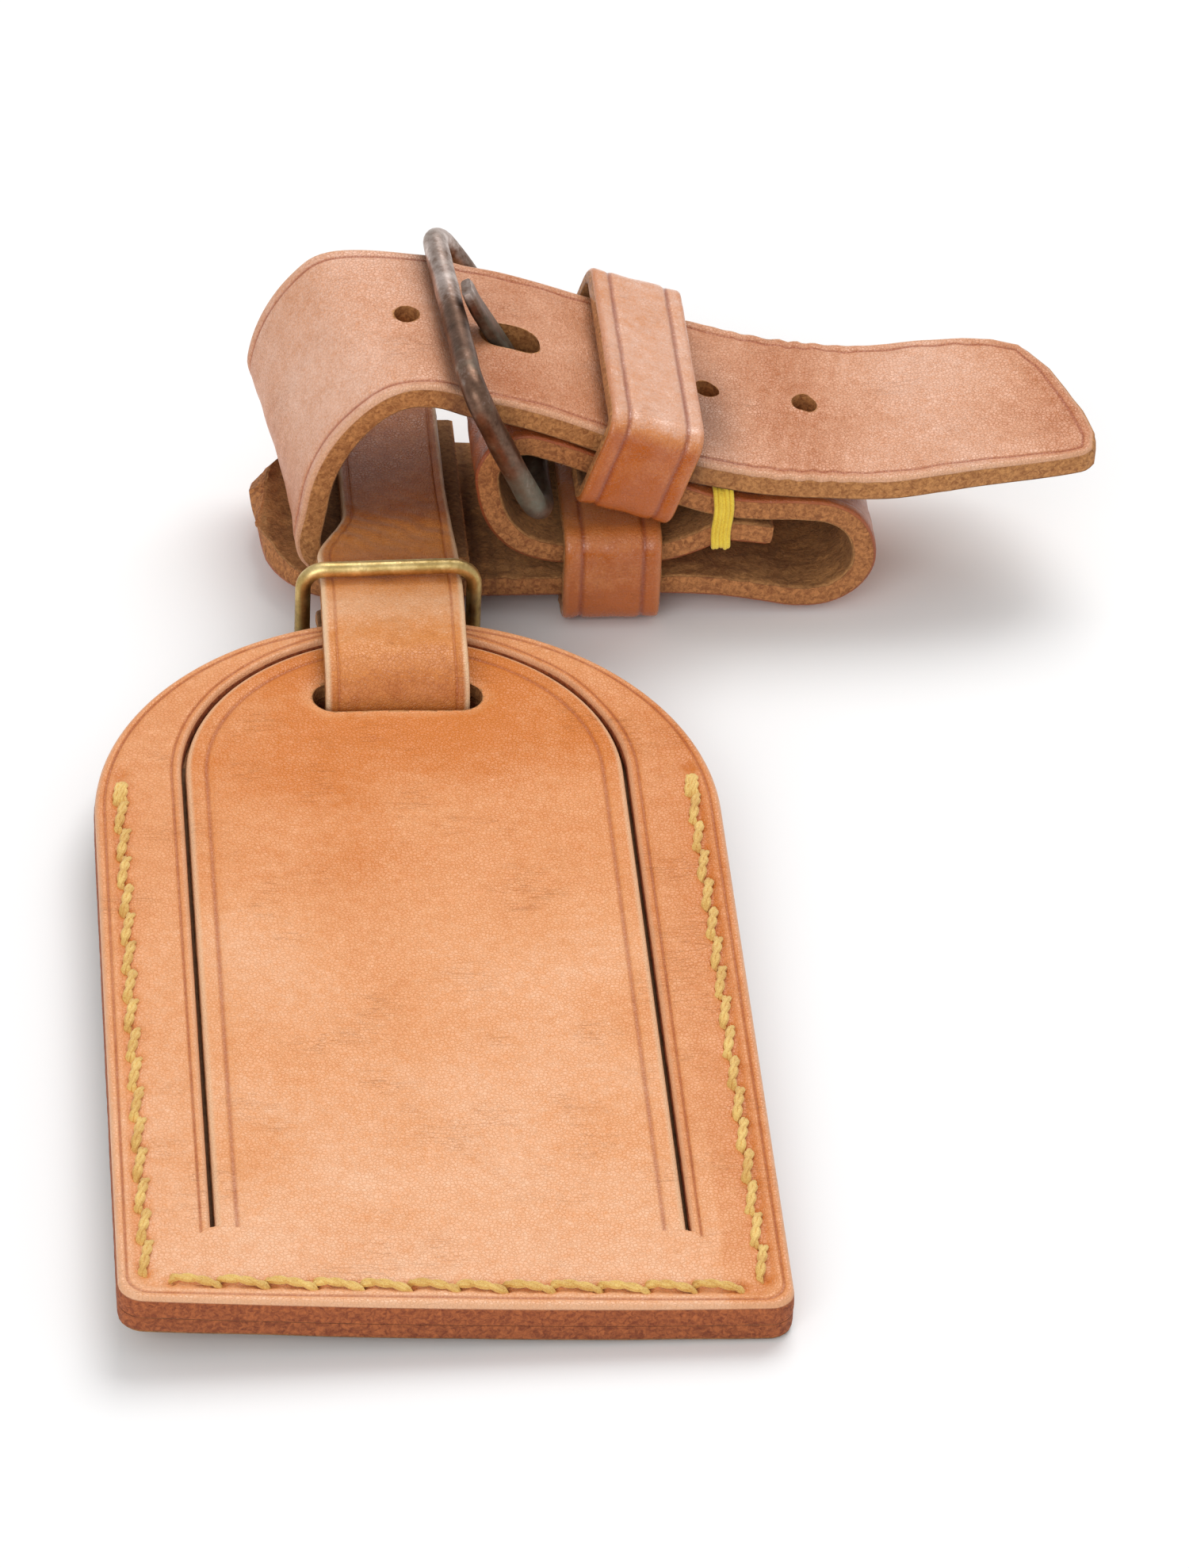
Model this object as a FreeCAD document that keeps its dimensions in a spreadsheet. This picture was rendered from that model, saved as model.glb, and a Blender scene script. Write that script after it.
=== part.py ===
import FreeCAD, Part
import math
import os
import Sketcher

# A leather luggage tag with its handle strap.  Millimetres.  X runs along the handle strap,
# Y from the bottom edge of the tag to the handle strap, Z up from the table.

doc = FreeCAD.newDocument("luggage_tag")
V = FreeCAD.Vector

# ------------------------------------------------------------------ driving dimensions
SIZES = [
    ("tag_width", 70.0, "outside width of the tag"),
    ("tag_length", 115.5, "bottom edge to the top of the arch"),
    ("tag_thickness", 5.0, "both leather layers with the card space"),
    ("back_thickness", 2.2, "back leather layer"),
    ("pocket_depth", 0.7, "space for the card"),
    ("corner_radius", 2.5, "bottom corners of the tag"),
    ("tongue_width", 49.2, "width of the tongue cut in the front layer"),
    ("tongue_foot", 11.5, "height of the tongue's fold line above the bottom edge"),
    ("tongue_drop", 3.4, "tongue apex below the tag's apex"),
    ("slit_gap", 0.6, "cut line round the tongue"),
    ("slot_width", 19.4, "slot for the loop strap"),
    ("slot_height", 5.2, "slot for the loop strap, along the tag"),
    ("slot_drop", 16.7, "lower edge of the slot below the tag's apex"),
    ("card_width", 52.0, "address card"),
    ("card_clear", 4.0, "pocket recess longer than the address card"),
    ("card_thickness", 0.35, "address card"),
    ("stitch_inset", 3.0, "stitch line in from the edge"),
    ("stitch_pitch", 4.92, "stitch spacing"),
    ("stitch_start", 3.6, "first side stitch beyond the corner of the stitch line"),
    ("thread_width", 1.0, "sewing thread"),
    ("thread_proud", 0.6, "height of a stitch above the leather"),
    ("loop_width", 16.4, "narrow loop strap"),
    ("loop_thickness", 2.0, "narrow loop strap"),
    ("loop_neck", 12.4, "width of the loop strap where it is pinched"),
    ("loop_clear", 1.35, "loop strap above the tag's front face"),
    ("ring_wire", 1.8, "brass ring wire"),
    ("ring_width", 21.6, "outside width of the brass ring"),
    ("ring_offset", 3.0, "brass ring beyond the tag's apex"),
    ("strap_offset", 12.0, "near edge of the handle strap beyond the tag's apex"),
    ("strap_width", 28.0, "handle strap"),
    ("strap_thickness", 3.0, "handle strap, tip piece"),
    ("leaf_thickness", 2.8, "handle strap, buckle piece"),
    ("keeper_band", 11.4, "width of each keeper band"),
    ("keeper_thickness", 2.0, "keeper leather"),
    ("keeper_gap", 0.8, "keeper to strap edges"),
    ("buckle_wire", 3.0, "buckle wire"),
    ("buckle_clear", 1.6, "buckle side rails to strap edges"),
    ("buckle_reach", 20.6, "pivot bar to outer bar"),
    ("buckle_lean", 61.0, "lean of the buckle frame above the table, degrees"),
    ("bar_running", 0.06, "radial clearance of the prong's eye on the pivot bar"),
    ("prong_width", 3.6, "prong"),
    ("prong_thickness", 1.8, "prong"),
    ("tip_reach", 84.5, "handle strap tip from the tag's centre line"),
    ("floor_gap", 0.3, "lowest leather above the table"),
    ("recess_foot", 6.0, "lower end of the pocket recess above the bottom edge"),
    ("recess_wall", 4.8, "pocket recess short of the slot for the loop strap"),
    ("recess_margin", 4.0, "pocket recess wider than the address card"),
    ("card_lift", 7.5, "lower end of the address card above the bottom edge"),
    ("card_float", 0.17, "address card above the back layer"),
]

sheet = doc.addObject("Spreadsheet::Sheet", "Sizes")
for row, (alias, value, note) in enumerate(SIZES, start=1):
    sheet.set("A%d" % row, note)
    sheet.set("B%d" % row, str(value))
    sheet.setAlias("B%d" % row, alias)
doc.recompute()


def size(name):
    """Value of one driving dimension."""
    return float(sheet.get(name))


# ------------------------------------------------------------------ heights in the stack
loop_t, leaf_t, strap_t = size("loop_thickness"), size("leaf_thickness"), size("strap_thickness")
keeper_t, wire, ring_wire = size("keeper_thickness"), size("buckle_wire"), size("ring_wire")
floor_gap, length = size("floor_gap"), size("tag_length")

RUN = floor_gap + max(loop_t, keeper_t) + 0.6 + leaf_t / 2          # leaf lying on the table side
TAIL = RUN + leaf_t / 2 + 0.3 + strap_t / 2                         # tucked end of the tip piece
OVER = TAIL + strap_t / 2 + 0.9 + loop_t / 2                        # loop strap over the leaves
FOLD_LOW = RUN + leaf_t + 1.8                                       # fold, lower layer
TIE_LOW = FOLD_LOW + 2.9                                            # layers drawn together by thread
TIE_HIGH = TIE_LOW + leaf_t + 0.7
EYE = wire / 2 + size("bar_running") + 1.1                          # outside radius of the prong's eye
PIVOT_Z = FOLD_LOW + leaf_t / 2 + EYE + 3.4
FOLD_HIGH = PIVOT_Z + EYE + 3.2 + leaf_t / 2                        # fold, upper layer over the pivot
SLOPE = 0.42                                                        # fall of the layers to the right
LAYER_STEP = (strap_t / 2 + leaf_t / 2 + 0.4) * math.hypot(1.0, SLOPE)
TIP_HIGH = FOLD_HIGH + LAYER_STEP                                   # tip piece over the pivot

LIFT = 0.15 + ring_wire + loop_t + 0.1                              # back face height at the apex
TILT = math.degrees(math.asin(LIFT / length))
PIVOT_X = 18.2
LEAN = math.radians(size("buckle_lean"))

NEAR = length + size("strap_offset")                                # handle strap, near edge
WIDTH = size("strap_width")
FAR = NEAR + WIDTH
MID = NEAR + WIDTH / 2


# ------------------------------------------------------------------ helpers
def origin_plane(body, role):
    """The named origin plane of a body."""
    return [f for f in body.Origin.OriginFeatures if f.Role == role][0]


def new_sketch(body, name, height=None):
    """A sketch on the body's own XY plane, raised by a bound height."""
    sketch = body.newObject("Sketcher::SketchObject", name)
    sketch.AttachmentSupport = (origin_plane(body, "XY_Plane"), [""])
    sketch.MapMode = "FlatFace"
    if height:
        sketch.setExpression(".AttachmentOffset.Base.z", height)
    return sketch


def bind(sketch, constraint, name, expression):
    """Add a named constraint and bind it to an expression."""
    index = sketch.addConstraint(constraint)
    sketch.renameConstraint(index, name)
    sketch.setExpression("Constraints." + name, expression)


def arch_outline(sketch, half_width, foot, apex, exprs):
    """Straight sides under a half round: half width, foot and apex are bound."""
    centre = apex - half_width
    line, arc = Part.LineSegment, Part.ArcOfCircle
    sketch.addGeometry(line(V(-half_width, foot, 0), V(half_width, foot, 0)), False)
    sketch.addGeometry(line(V(half_width, foot, 0), V(half_width, centre, 0)), False)
    circle = Part.Circle(V(0, centre, 0), V(0, 0, 1), half_width)
    sketch.addGeometry(arc(circle, 0.0, math.pi), False)
    sketch.addGeometry(line(V(-half_width, centre, 0), V(-half_width, foot, 0)), False)
    rule = Sketcher.Constraint
    for item in (rule("Coincident", 0, 2, 1, 1), rule("Tangent", 1, 2, 2, 1),
                 rule("Tangent", 2, 2, 3, 1), rule("Coincident", 3, 2, 0, 1),
                 rule("Horizontal", 0), rule("Vertical", 1), rule("Vertical", 3),
                 rule("PointOnObject", 2, 3, -2)):
        sketch.addConstraint(item)
    bind(sketch, rule("Radius", 2, half_width), "arch", exprs[0])
    if foot == 0:
        sketch.addConstraint(rule("PointOnObject", 0, 1, -1))
    else:
        bind(sketch, rule("DistanceY", -1, 1, 0, 1, foot), "foot", exprs[1])
    bind(sketch, rule("DistanceY", -1, 1, 2, 3, centre), "centre", exprs[2] + " - " + exprs[0])


def rectangle(sketch, width, height, foot, exprs):
    """A rectangle centred on the Y axis: width, height and foot are bound."""
    corners = [V(-width / 2, foot, 0), V(width / 2, foot, 0),
               V(width / 2, foot + height, 0), V(-width / 2, foot + height, 0)]
    rule = Sketcher.Constraint
    for i in range(4):
        sketch.addGeometry(Part.LineSegment(corners[i], corners[(i + 1) % 4]), False)
    for i in range(4):
        sketch.addConstraint(rule("Coincident", i, 2, (i + 1) % 4, 1))
        if i:
            sketch.addConstraint(rule("Horizontal" if i == 2 else "Vertical", i))
    sketch.addConstraint(rule("Symmetric", 0, 1, 0, 2, -2))
    bind(sketch, rule("DistanceX", 0, 1, 0, 2, width), "width", exprs[0])
    bind(sketch, rule("DistanceY", 1, 1, 1, 2, height), "height", exprs[1])
    bind(sketch, rule("DistanceY", -1, 1, 0, 1, foot), "foot", exprs[2])


def pad(body, sketch, name, expression, downward=False):
    """Pad a sketch by a bound length."""
    feature = body.newObject("PartDesign::Pad", name)
    feature.Profile = sketch
    feature.setExpression("Length", expression)
    feature.Reversed = downward
    sketch.Visibility = False
    return feature


def cut_through(body, sketch, name):
    """Cut a sketch through the whole body, both ways."""
    feature = body.newObject("PartDesign::Pocket", name)
    feature.Profile = sketch
    feature.Type = 1
    feature.Midplane = True
    return feature


def round_bottom_corners(body, base, name):
    """Round the two upright edges at the foot of a panel."""
    half = size("tag_width") / 2
    names = []
    for i, edge in enumerate(base.Shape.Edges, start=1):
        ends = [v.Point for v in edge.Vertexes]
        upright = len(ends) == 2 and abs(ends[0].x - ends[1].x) < 1e-4
        if upright and all(abs(abs(p.x) - half) < 1e-4 and abs(p.y) < 1e-4 for p in ends):
            names.append("Edge%d" % i)
    feature = body.newObject("PartDesign::Fillet", name)
    feature.Base = (base, names)
    feature.setExpression("Radius", "Sizes.corner_radius")
    return feature


def spline(points):
    """Smooth curve through points."""
    curve = Part.BSplineCurve()
    curve.interpolate(points)
    return curve


def smooth_loop(points):
    """Smooth closed curve through points."""
    curve = Part.BSplineCurve()
    curve.interpolate(Points=points, PeriodicFlag=True)
    return curve


def offset_points(curve, normal, distance, count, closed=False):
    """Points of a plane curve moved sideways by a distance."""
    steps = count if closed else count - 1
    first, last = curve.FirstParameter, curve.LastParameter
    result = []
    for i in range(count):
        u = first + (last - first) * i / steps
        tangent = curve.tangent(u)[0]
        result.append(curve.value(u) + normal.cross(tangent).normalize() * distance)
    return result


def band_face(points, thickness, plane_normal, count=72):
    """Face of a leather band seen on its edge: a path with a thickness."""
    curve = spline(points)
    one = offset_points(curve, plane_normal, thickness / 2, count)
    two = offset_points(curve, plane_normal, -thickness / 2, count)
    edges = [spline(one).toShape(), Part.makeLine(one[-1], two[-1]),
             spline(list(reversed(two))).toShape(), Part.makeLine(two[0], one[0])]
    return Part.Face(Part.Wire(edges))


def closed_band_face(points, thickness, plane_normal, count=110):
    """Face of a closed leather band seen on its edge."""
    curve = smooth_loop(points)
    rims = [Part.Wire([smooth_loop(offset_points(curve, plane_normal, side * thickness / 2,
                                                 count, True)).toShape()]) for side in (1, -1)]
    rims.sort(key=lambda w: w.BoundBox.DiagonalLength)
    return Part.Face(rims[1]).cut(Part.Face(rims[0])).Faces[0]


def profile(name, shape):
    """A plane face kept as the base of an extrusion."""
    feature = doc.addObject("Part::Feature", name)
    feature.Shape = shape
    feature.Visibility = False
    return feature


def extrude(name, face, direction, expression):
    """Extrude a plane face by a bound length."""
    feature = doc.addObject("Part::Extrusion", name)
    feature.Base = profile(name + "_face", face)
    feature.DirMode = "Custom"
    feature.Dir = direction
    feature.Solid = True
    feature.setExpression("LengthFwd", expression)
    return feature


def block(name, low, high):
    """A cutting block between two corners."""
    feature = doc.addObject("Part::Box", name)
    feature.Length, feature.Width, feature.Height = high[0] - low[0], high[1] - low[1], high[2] - low[2]
    feature.Placement.Base = V(*low)
    return feature


def subtract(name, base, tools):
    """Cut several tools from one object."""
    fused = tools[0]
    if len(tools) > 1:
        fused = doc.addObject("Part::MultiFuse", name + "_tools")
        fused.Shapes = tools
    feature = doc.addObject("Part::Cut", name)
    feature.Base, feature.Tool = base, fused
    return feature


def polygon_face(points):
    """Plane face from corner points."""
    return Part.Face(Part.makePolygon(points + [points[0]]))


def rounded_wire(centre, across, up, half_a, half_b, radius):
    """Closed wire: a rectangle with round corners in the plane of two directions."""
    def at(a, b):
        return centre + across * a + up * b
    r, ia, ib = radius, half_a - radius, half_b - radius
    turn = r * (1 - math.sqrt(0.5))
    edges = []
    for sa, sb, flip in ((1, 1, False), (-1, 1, True), (-1, -1, False), (1, -1, True)):
        ends = [at(sa * half_a, sb * ib), at(sa * ia, sb * half_b)]
        middle = at(sa * (half_a - turn), sb * (half_b - turn))
        if flip:
            ends.reverse()
        edges.append(Part.Arc(ends[0], middle, ends[1]).toShape())
    edges.append(Part.makeLine(at(ia, half_b), at(-ia, half_b)))
    edges.append(Part.makeLine(at(-half_a, ib), at(-half_a, -ib)))
    edges.append(Part.makeLine(at(-ia, -half_b), at(ia, -half_b)))
    edges.append(Part.makeLine(at(half_a, -ib), at(half_a, ib)))
    return Part.Wire(Part.__sortEdges__(edges))


def wire_ring(name, path, start, tangent, radius_expression):
    """Round wire swept along a closed path; the wire radius is bound."""
    section = doc.addObject("Part::Circle", name + "_section")
    section.setExpression("Radius", radius_expression)
    section.Placement = FreeCAD.Placement(start, FreeCAD.Rotation(V(0, 0, 1), tangent))
    section.Visibility = False
    feature = doc.addObject("Part::Sweep", name)
    feature.Sections = [section]
    feature.Spine = (profile(name + "_path", path), [])
    feature.Solid = True
    feature.Frenet = False
    return feature


tilted = FreeCAD.Placement(V(0, 0, 0), FreeCAD.Rotation(V(1, 0, 0), TILT))
nodes = {}

# ------------------------------------------------------------------ tag panels
HALF = "Sizes.tag_width / 2"


def slot_cut(body):
    """The loop strap's slot through one layer."""
    sketch = new_sketch(body, body.Name + "_slot")
    rectangle(sketch, size("slot_width"), size("slot_height"), length - size("slot_drop"),
              ("Sizes.slot_width", "Sizes.slot_height", "Sizes.tag_length - Sizes.slot_drop"))
    return cut_through(body, sketch, body.Name + "_slot_cut")


back = doc.addObject("PartDesign::Body", "back_panel")
outline = new_sketch(back, "back_outline")
arch_outline(outline, size("tag_width") / 2, 0, length, (HALF, "", "Sizes.tag_length"))
layer = pad(back, outline, "back_layer", "Sizes.back_thickness")
doc.recompute()
round_bottom_corners(back, layer, "back_corners")
slot_cut(back)
nodes["back_panel"] = back

border = doc.addObject("PartDesign::Body", "front_border")
outline = new_sketch(border, "border_outline", "Sizes.back_thickness")
arch_outline(outline, size("tag_width") / 2, 0, length, (HALF, "", "Sizes.tag_length"))
layer = pad(border, outline, "border_layer", "Sizes.tag_thickness - Sizes.back_thickness")
doc.recompute()
round_bottom_corners(border, layer, "border_corners")
recess = new_sketch(border, "card_recess", "Sizes.back_thickness")
recess_length = length - size("slot_drop") - size("recess_foot") - size("recess_wall")
RECESS = "Sizes.tag_length - Sizes.slot_drop - Sizes.recess_foot - Sizes.recess_wall"
rectangle(recess, size("card_width") + size("recess_margin"), recess_length, size("recess_foot"),
          ("Sizes.card_width + Sizes.recess_margin", RECESS, "Sizes.recess_foot"))
pocket = border.newObject("PartDesign::Pocket", "card_pocket")
pocket.Profile = recess
pocket.setExpression("Length", "Sizes.pocket_depth")
pocket.Reversed = True
opening = new_sketch(border, "tongue_opening")
arch_outline(opening, size("tongue_width") / 2 + size("slit_gap"), size("tongue_foot"),
             length - size("tongue_drop") + size("slit_gap"),
             ("Sizes.tongue_width / 2 + Sizes.slit_gap", "Sizes.tongue_foot",
              "Sizes.tag_length - Sizes.tongue_drop + Sizes.slit_gap"))
cut_through(border, opening, "tongue_slit")
nodes["front_border"] = border

tongue = doc.addObject("PartDesign::Body", "tongue")
outline = new_sketch(tongue, "tongue_outline", "Sizes.back_thickness + Sizes.pocket_depth")
arch_outline(outline, size("tongue_width") / 2, size("tongue_foot") + 0.3,
             length - size("tongue_drop"),
             ("Sizes.tongue_width / 2", "Sizes.tongue_foot + 0.3",
              "Sizes.tag_length - Sizes.tongue_drop"))
pad(tongue, outline, "tongue_layer", "Sizes.tag_thickness - Sizes.back_thickness - Sizes.pocket_depth")
slot_cut(tongue)
nodes["tongue"] = tongue

card = doc.addObject("Part::Box", "address_card")
card.setExpression("Length", "Sizes.card_width")
card.setExpression("Width", RECESS + " - Sizes.card_clear")
card.setExpression("Height", "Sizes.card_thickness")
card.setExpression("Placement.Base.x", "-Sizes.card_width / 2")
card.setExpression("Placement.Base.y", "Sizes.card_lift")
card.setExpression("Placement.Base.z", "Sizes.back_thickness + Sizes.card_float")
nodes["address_card"] = card


# ------------------------------------------------------------------ stitching
def stitch_row(name, start, along_y, count):
    """A row of slanted stitches on the front layer; adjoining stitches meet."""
    body = doc.addObject("PartDesign::Body", name)
    sketch = new_sketch(body, name + "_stitch", "Sizes.tag_thickness")
    pitch, half = size("stitch_pitch"), size("thread_width") / 2
    turn = math.radians(90 + 8 if along_y else 8)
    along, side = V(math.cos(turn), math.sin(turn), 0), V(-math.sin(turn), math.cos(turn), 0)
    a, b = start - along * (pitch / 2), start + along * (pitch / 2)
    line = Part.LineSegment
    sketch.addGeometry(line(a - side * half, b - side * half), False)
    sketch.addGeometry(Part.Arc(b - side * half, b + along * half, b + side * half), False)
    sketch.addGeometry(line(b + side * half, a + side * half), False)
    sketch.addGeometry(Part.Arc(a + side * half, a - along * half, a - side * half), False)
    for i in range(4):
        sketch.addConstraint(Sketcher.Constraint("Block", i))
    stitch = pad(body, sketch, name + "_pad", "Sizes.thread_proud")
    body.Tip = stitch
    rowed = body.newObject("PartDesign::LinearPattern", name + "_row")
    rowed.Originals = [stitch]
    rowed.Direction = (sketch, ["V_Axis" if along_y else "H_Axis"])
    rowed.setExpression("Occurrences", count)
    rowed.setExpression("Length", "Sizes.stitch_pitch * (%s - 1)" % count)
    body.Tip = rowed
    return body


inset, pitch = size("stitch_inset"), size("stitch_pitch")
edge_x = size("tag_width") / 2 - inset
first_y = inset + size("stitch_start")
side_count = math.floor((length - size("tag_width") / 2 - first_y) / pitch) + 1
foot_count = math.floor((size("tag_width") - 2 * inset - pitch) / pitch)
SIDE_COUNT = ("floor((Sizes.tag_length - Sizes.tag_width / 2 - Sizes.stitch_inset - Sizes.stitch_start)"
              " / Sizes.stitch_pitch) + 1")
FOOT_COUNT = "floor((Sizes.tag_width - 2 * Sizes.stitch_inset - Sizes.stitch_pitch) / Sizes.stitch_pitch)"
foot_span = pitch * (foot_count - 1)
nodes["stitch_left"] = stitch_row("stitch_left", V(-edge_x, first_y, 0), True, SIDE_COUNT)
nodes["stitch_right"] = stitch_row("stitch_right", V(edge_x, first_y, 0), True, SIDE_COUNT)
nodes["stitch_bottom"] = stitch_row("stitch_bottom", V(-foot_span / 2, inset, 0), False,
                                    FOOT_COUNT)
tack_y = first_y + pitch * (side_count - 0.5) + 0.8
for name, x in (("bartack_left", -edge_x), ("bartack_right", edge_x)):
    tack = doc.addObject("Part::Box", name)
    tack.setExpression("Length", "Sizes.thread_width * 2")
    tack.setExpression("Width", "Sizes.thread_width * 3")
    tack.setExpression("Height", "Sizes.thread_proud")
    tack.Placement.Base = V(x - size("thread_width"), tack_y, size("tag_thickness"))
    nodes[name] = tack

for name in list(nodes):
    nodes[name].Placement = tilted.multiply(nodes[name].Placement)
card.setExpression("Placement.Base.x", None)
card.setExpression("Placement.Base.y", None)
card.setExpression("Placement.Base.z", None)
doc.recompute()
card.Placement = tilted.multiply(FreeCAD.Placement(
    V(-size("card_width") / 2, size("card_lift"), size("back_thickness") + size("card_float")),
    FreeCAD.Rotation()))

# ------------------------------------------------------------------ loop strap
SLOT_Y = length - size("slot_drop") + 1.8
RISE = LIFT / length


def over_tag(y):
    """Centre height of the front leg above the tag's front face."""
    return y * RISE + size("tag_thickness") + size("loop_clear") + loop_t / 2


RING_Y = length + size("ring_offset")
LEG = 0.15 + ring_wire + 0.5 + loop_t / 2
BACK = floor_gap + loop_t / 2
SLOT_Z = (over_tag(SLOT_Y) + LIFT - 1.6 - loop_t / 2) / 2           # middle of the turn through the slot
TURN = SLOT_Z - (LIFT - 1.6 - loop_t / 2)
loop_path = [
    (SLOT_Y, SLOT_Z), (SLOT_Y + 1.15, SLOT_Z + 0.72 * TURN), (SLOT_Y + 3.9, over_tag(SLOT_Y) + 0.05),
    (SLOT_Y + 8, over_tag(SLOT_Y + 8)), (RING_Y, over_tag(RING_Y)),
    (NEAR - 3.5, OVER + 0.15), (NEAR + 3, OVER), (MID, OVER), (FAR - 6, OVER),
    (FAR + 0.6, OVER - 0.1), (FAR + 3.6, OVER - 1.8), (FAR + 4.8, (OVER + BACK) / 2),
    (FAR + 3.6, BACK + 1.8), (FAR + 0.6, BACK + 0.1), (FAR - 6, BACK), (MID, BACK), (NEAR + 3, BACK),
    (NEAR - 1.2, BACK + 0.1), (NEAR - 5, LEG - 0.05), (RING_Y, LEG),
    (length - 0.2, LIFT - 0.35 - loop_t / 2), (length - 6, LIFT - 1.0 - loop_t / 2),
    (SLOT_Y + 4.2, LIFT - 1.65 - loop_t / 2), (SLOT_Y + 1.2, SLOT_Z - 0.72 * TURN),
]
half_loop = size("loop_width") / 2
face = closed_band_face([V(-half_loop, y, z) for y, z in loop_path], loop_t, V(1, 0, 0))
loop_run = extrude("loop_run", face, V(1, 0, 0), "Sizes.loop_width")
neck_left, neck_right = -4.6, -4.6 + size("loop_neck")
plan = polygon_face([V(-half_loop - 1, 0, -5), V(half_loop + 1, 0, -5), V(half_loop + 1, NEAR - 6, -5),
                     V(half_loop, NEAR - 2, -5), V(neck_right, NEAR + 12, -5),
                     V(neck_right, FAR + 20, -5), V(neck_left, FAR + 20, -5),
                     V(neck_left, NEAR + 5, -5), V(-half_loop, NEAR - 4, -5),
                     V(-half_loop - 1, NEAR - 6, -5)])
loop_plan = doc.addObject("Part::Extrusion", "loop_plan")
loop_plan.Base = profile("loop_plan_face", plan)
loop_plan.DirMode, loop_plan.Dir, loop_plan.Solid = "Custom", V(0, 0, 1), True
loop_plan.LengthFwd = 40
loop_strap = doc.addObject("Part::MultiCommon", "loop_strap")
loop_strap.Shapes = [loop_run, loop_plan]
nodes["loop_strap"] = loop_strap

# ------------------------------------------------------------------ brass ring
ring_low = 0.15 + ring_wire / 2
ring_high = over_tag(RING_Y) + loop_t / 2 + 0.5 + ring_wire / 2
ring_half = size("ring_width") / 2 - ring_wire / 2
ring_centre = V(0, RING_Y, (ring_low + ring_high) / 2)
ring_path = rounded_wire(ring_centre, V(1, 0, 0), V(0, 0, 1), ring_half, (ring_high - ring_low) / 2, 2.6)
nodes["brass_ring"] = wire_ring("brass_ring", ring_path, ring_centre + V(0, 0, (ring_high - ring_low) / 2),
                                V(1, 0, 0), "Sizes.ring_wire / 2")

# ------------------------------------------------------------------ handle strap, tip piece
PX = PIVOT_X
tip_path = [
    (size("tip_reach"), TIP_HIGH - 5.7), (76, TIP_HIGH - 7.3), (66.6, TIP_HIGH - 8.9),
    (58, TIE_HIGH - 0.9 + leaf_t / 2 + 0.8 + strap_t / 2 - 0.6),
    (50, TIE_HIGH - 0.9 + leaf_t / 2 + 0.9 + strap_t / 2),
    (39.5, TIE_HIGH + leaf_t / 2 + size("thread_proud") + 0.9 + strap_t / 2),
    (PX + 15.5, TIP_HIGH - 15 * SLOPE + 0.1), (PX + 8, TIP_HIGH - 7.3 * SLOPE),
    (PX + 1, TIP_HIGH - 0.2 * SLOPE), (PX - 4, TIP_HIGH + 1.6), (10, TIP_HIGH + 2.6), (6, TIP_HIGH + 4.0),
    (2.6, TIP_HIGH + 4.1), (-1.4, TIP_HIGH + 2.7), (-4.6, TIP_HIGH - 0.3), (-7.2, TIP_HIGH - 4.4),
    (-8.8, TIP_HIGH - 9.2), (-9.2, TAIL + 6.4), (-9.0, TAIL + 3.4), (-7.9, TAIL + 1.1), (-5.6, TAIL + 0.1),
    (-2, TAIL), (4, TAIL), (10, TAIL),
]
face = band_face([V(x, NEAR, z) for x, z in tip_path], strap_t, V(0, 1, 0))
tip_run = extrude("tip_run", face, V(0, 1, 0), "Sizes.strap_width")
reach = size("tip_reach")
plan = polygon_face([V(-30, NEAR - 1, -5), V(62, NEAR - 1, -5), V(68, NEAR + 0.6, -5),
                     V(76, NEAR + 2.8, -5), V(reach - 1.2, NEAR + 3.8, -5), V(reach - 0.2, NEAR + 4.8, -5),
                     V(reach - 0.2, NEAR + 8, -5), V(reach - 2.6, MID + 3.5, -5),
                     V(reach - 4.6, FAR - 6.5, -5), V(reach - 7.4, FAR - 2.6, -5),
                     V(reach - 12, FAR - 0.6, -5), V(reach - 18, FAR + 1, -5), V(-30, FAR + 1, -5)])
tip_plan = doc.addObject("Part::Extrusion", "tip_plan")
tip_plan.Base = profile("tip_plan_face", plan)
tip_plan.DirMode, tip_plan.Dir, tip_plan.Solid = "Custom", V(0, 0, 1), True
tip_plan.LengthFwd = 80
tip_shaped = doc.addObject("Part::MultiCommon", "tip_shaped")
tip_shaped.Shapes = [tip_run, tip_plan]
prong_slot = block("prong_slot", (PX - 6.6, MID - 2.4, TIP_HIGH - 4), (PX - 0.1, MID + 2.4, TIP_HIGH + 9))
holes = [prong_slot]
for i, x in enumerate((3.1, 38.7, 50.4)):
    punch = doc.addObject("Part::Cylinder", "punch_hole_%d" % (i + 1))
    punch.Radius, punch.Height = 1.5, 20
    punch.Placement.Base = V(x, MID + 0.8, TIE_HIGH + 1.0 if x > 30 else TIP_HIGH - 4)
    holes.append(punch)
nodes["tip_strap"] = subtract("tip_strap", tip_shaped, holes)

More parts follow.
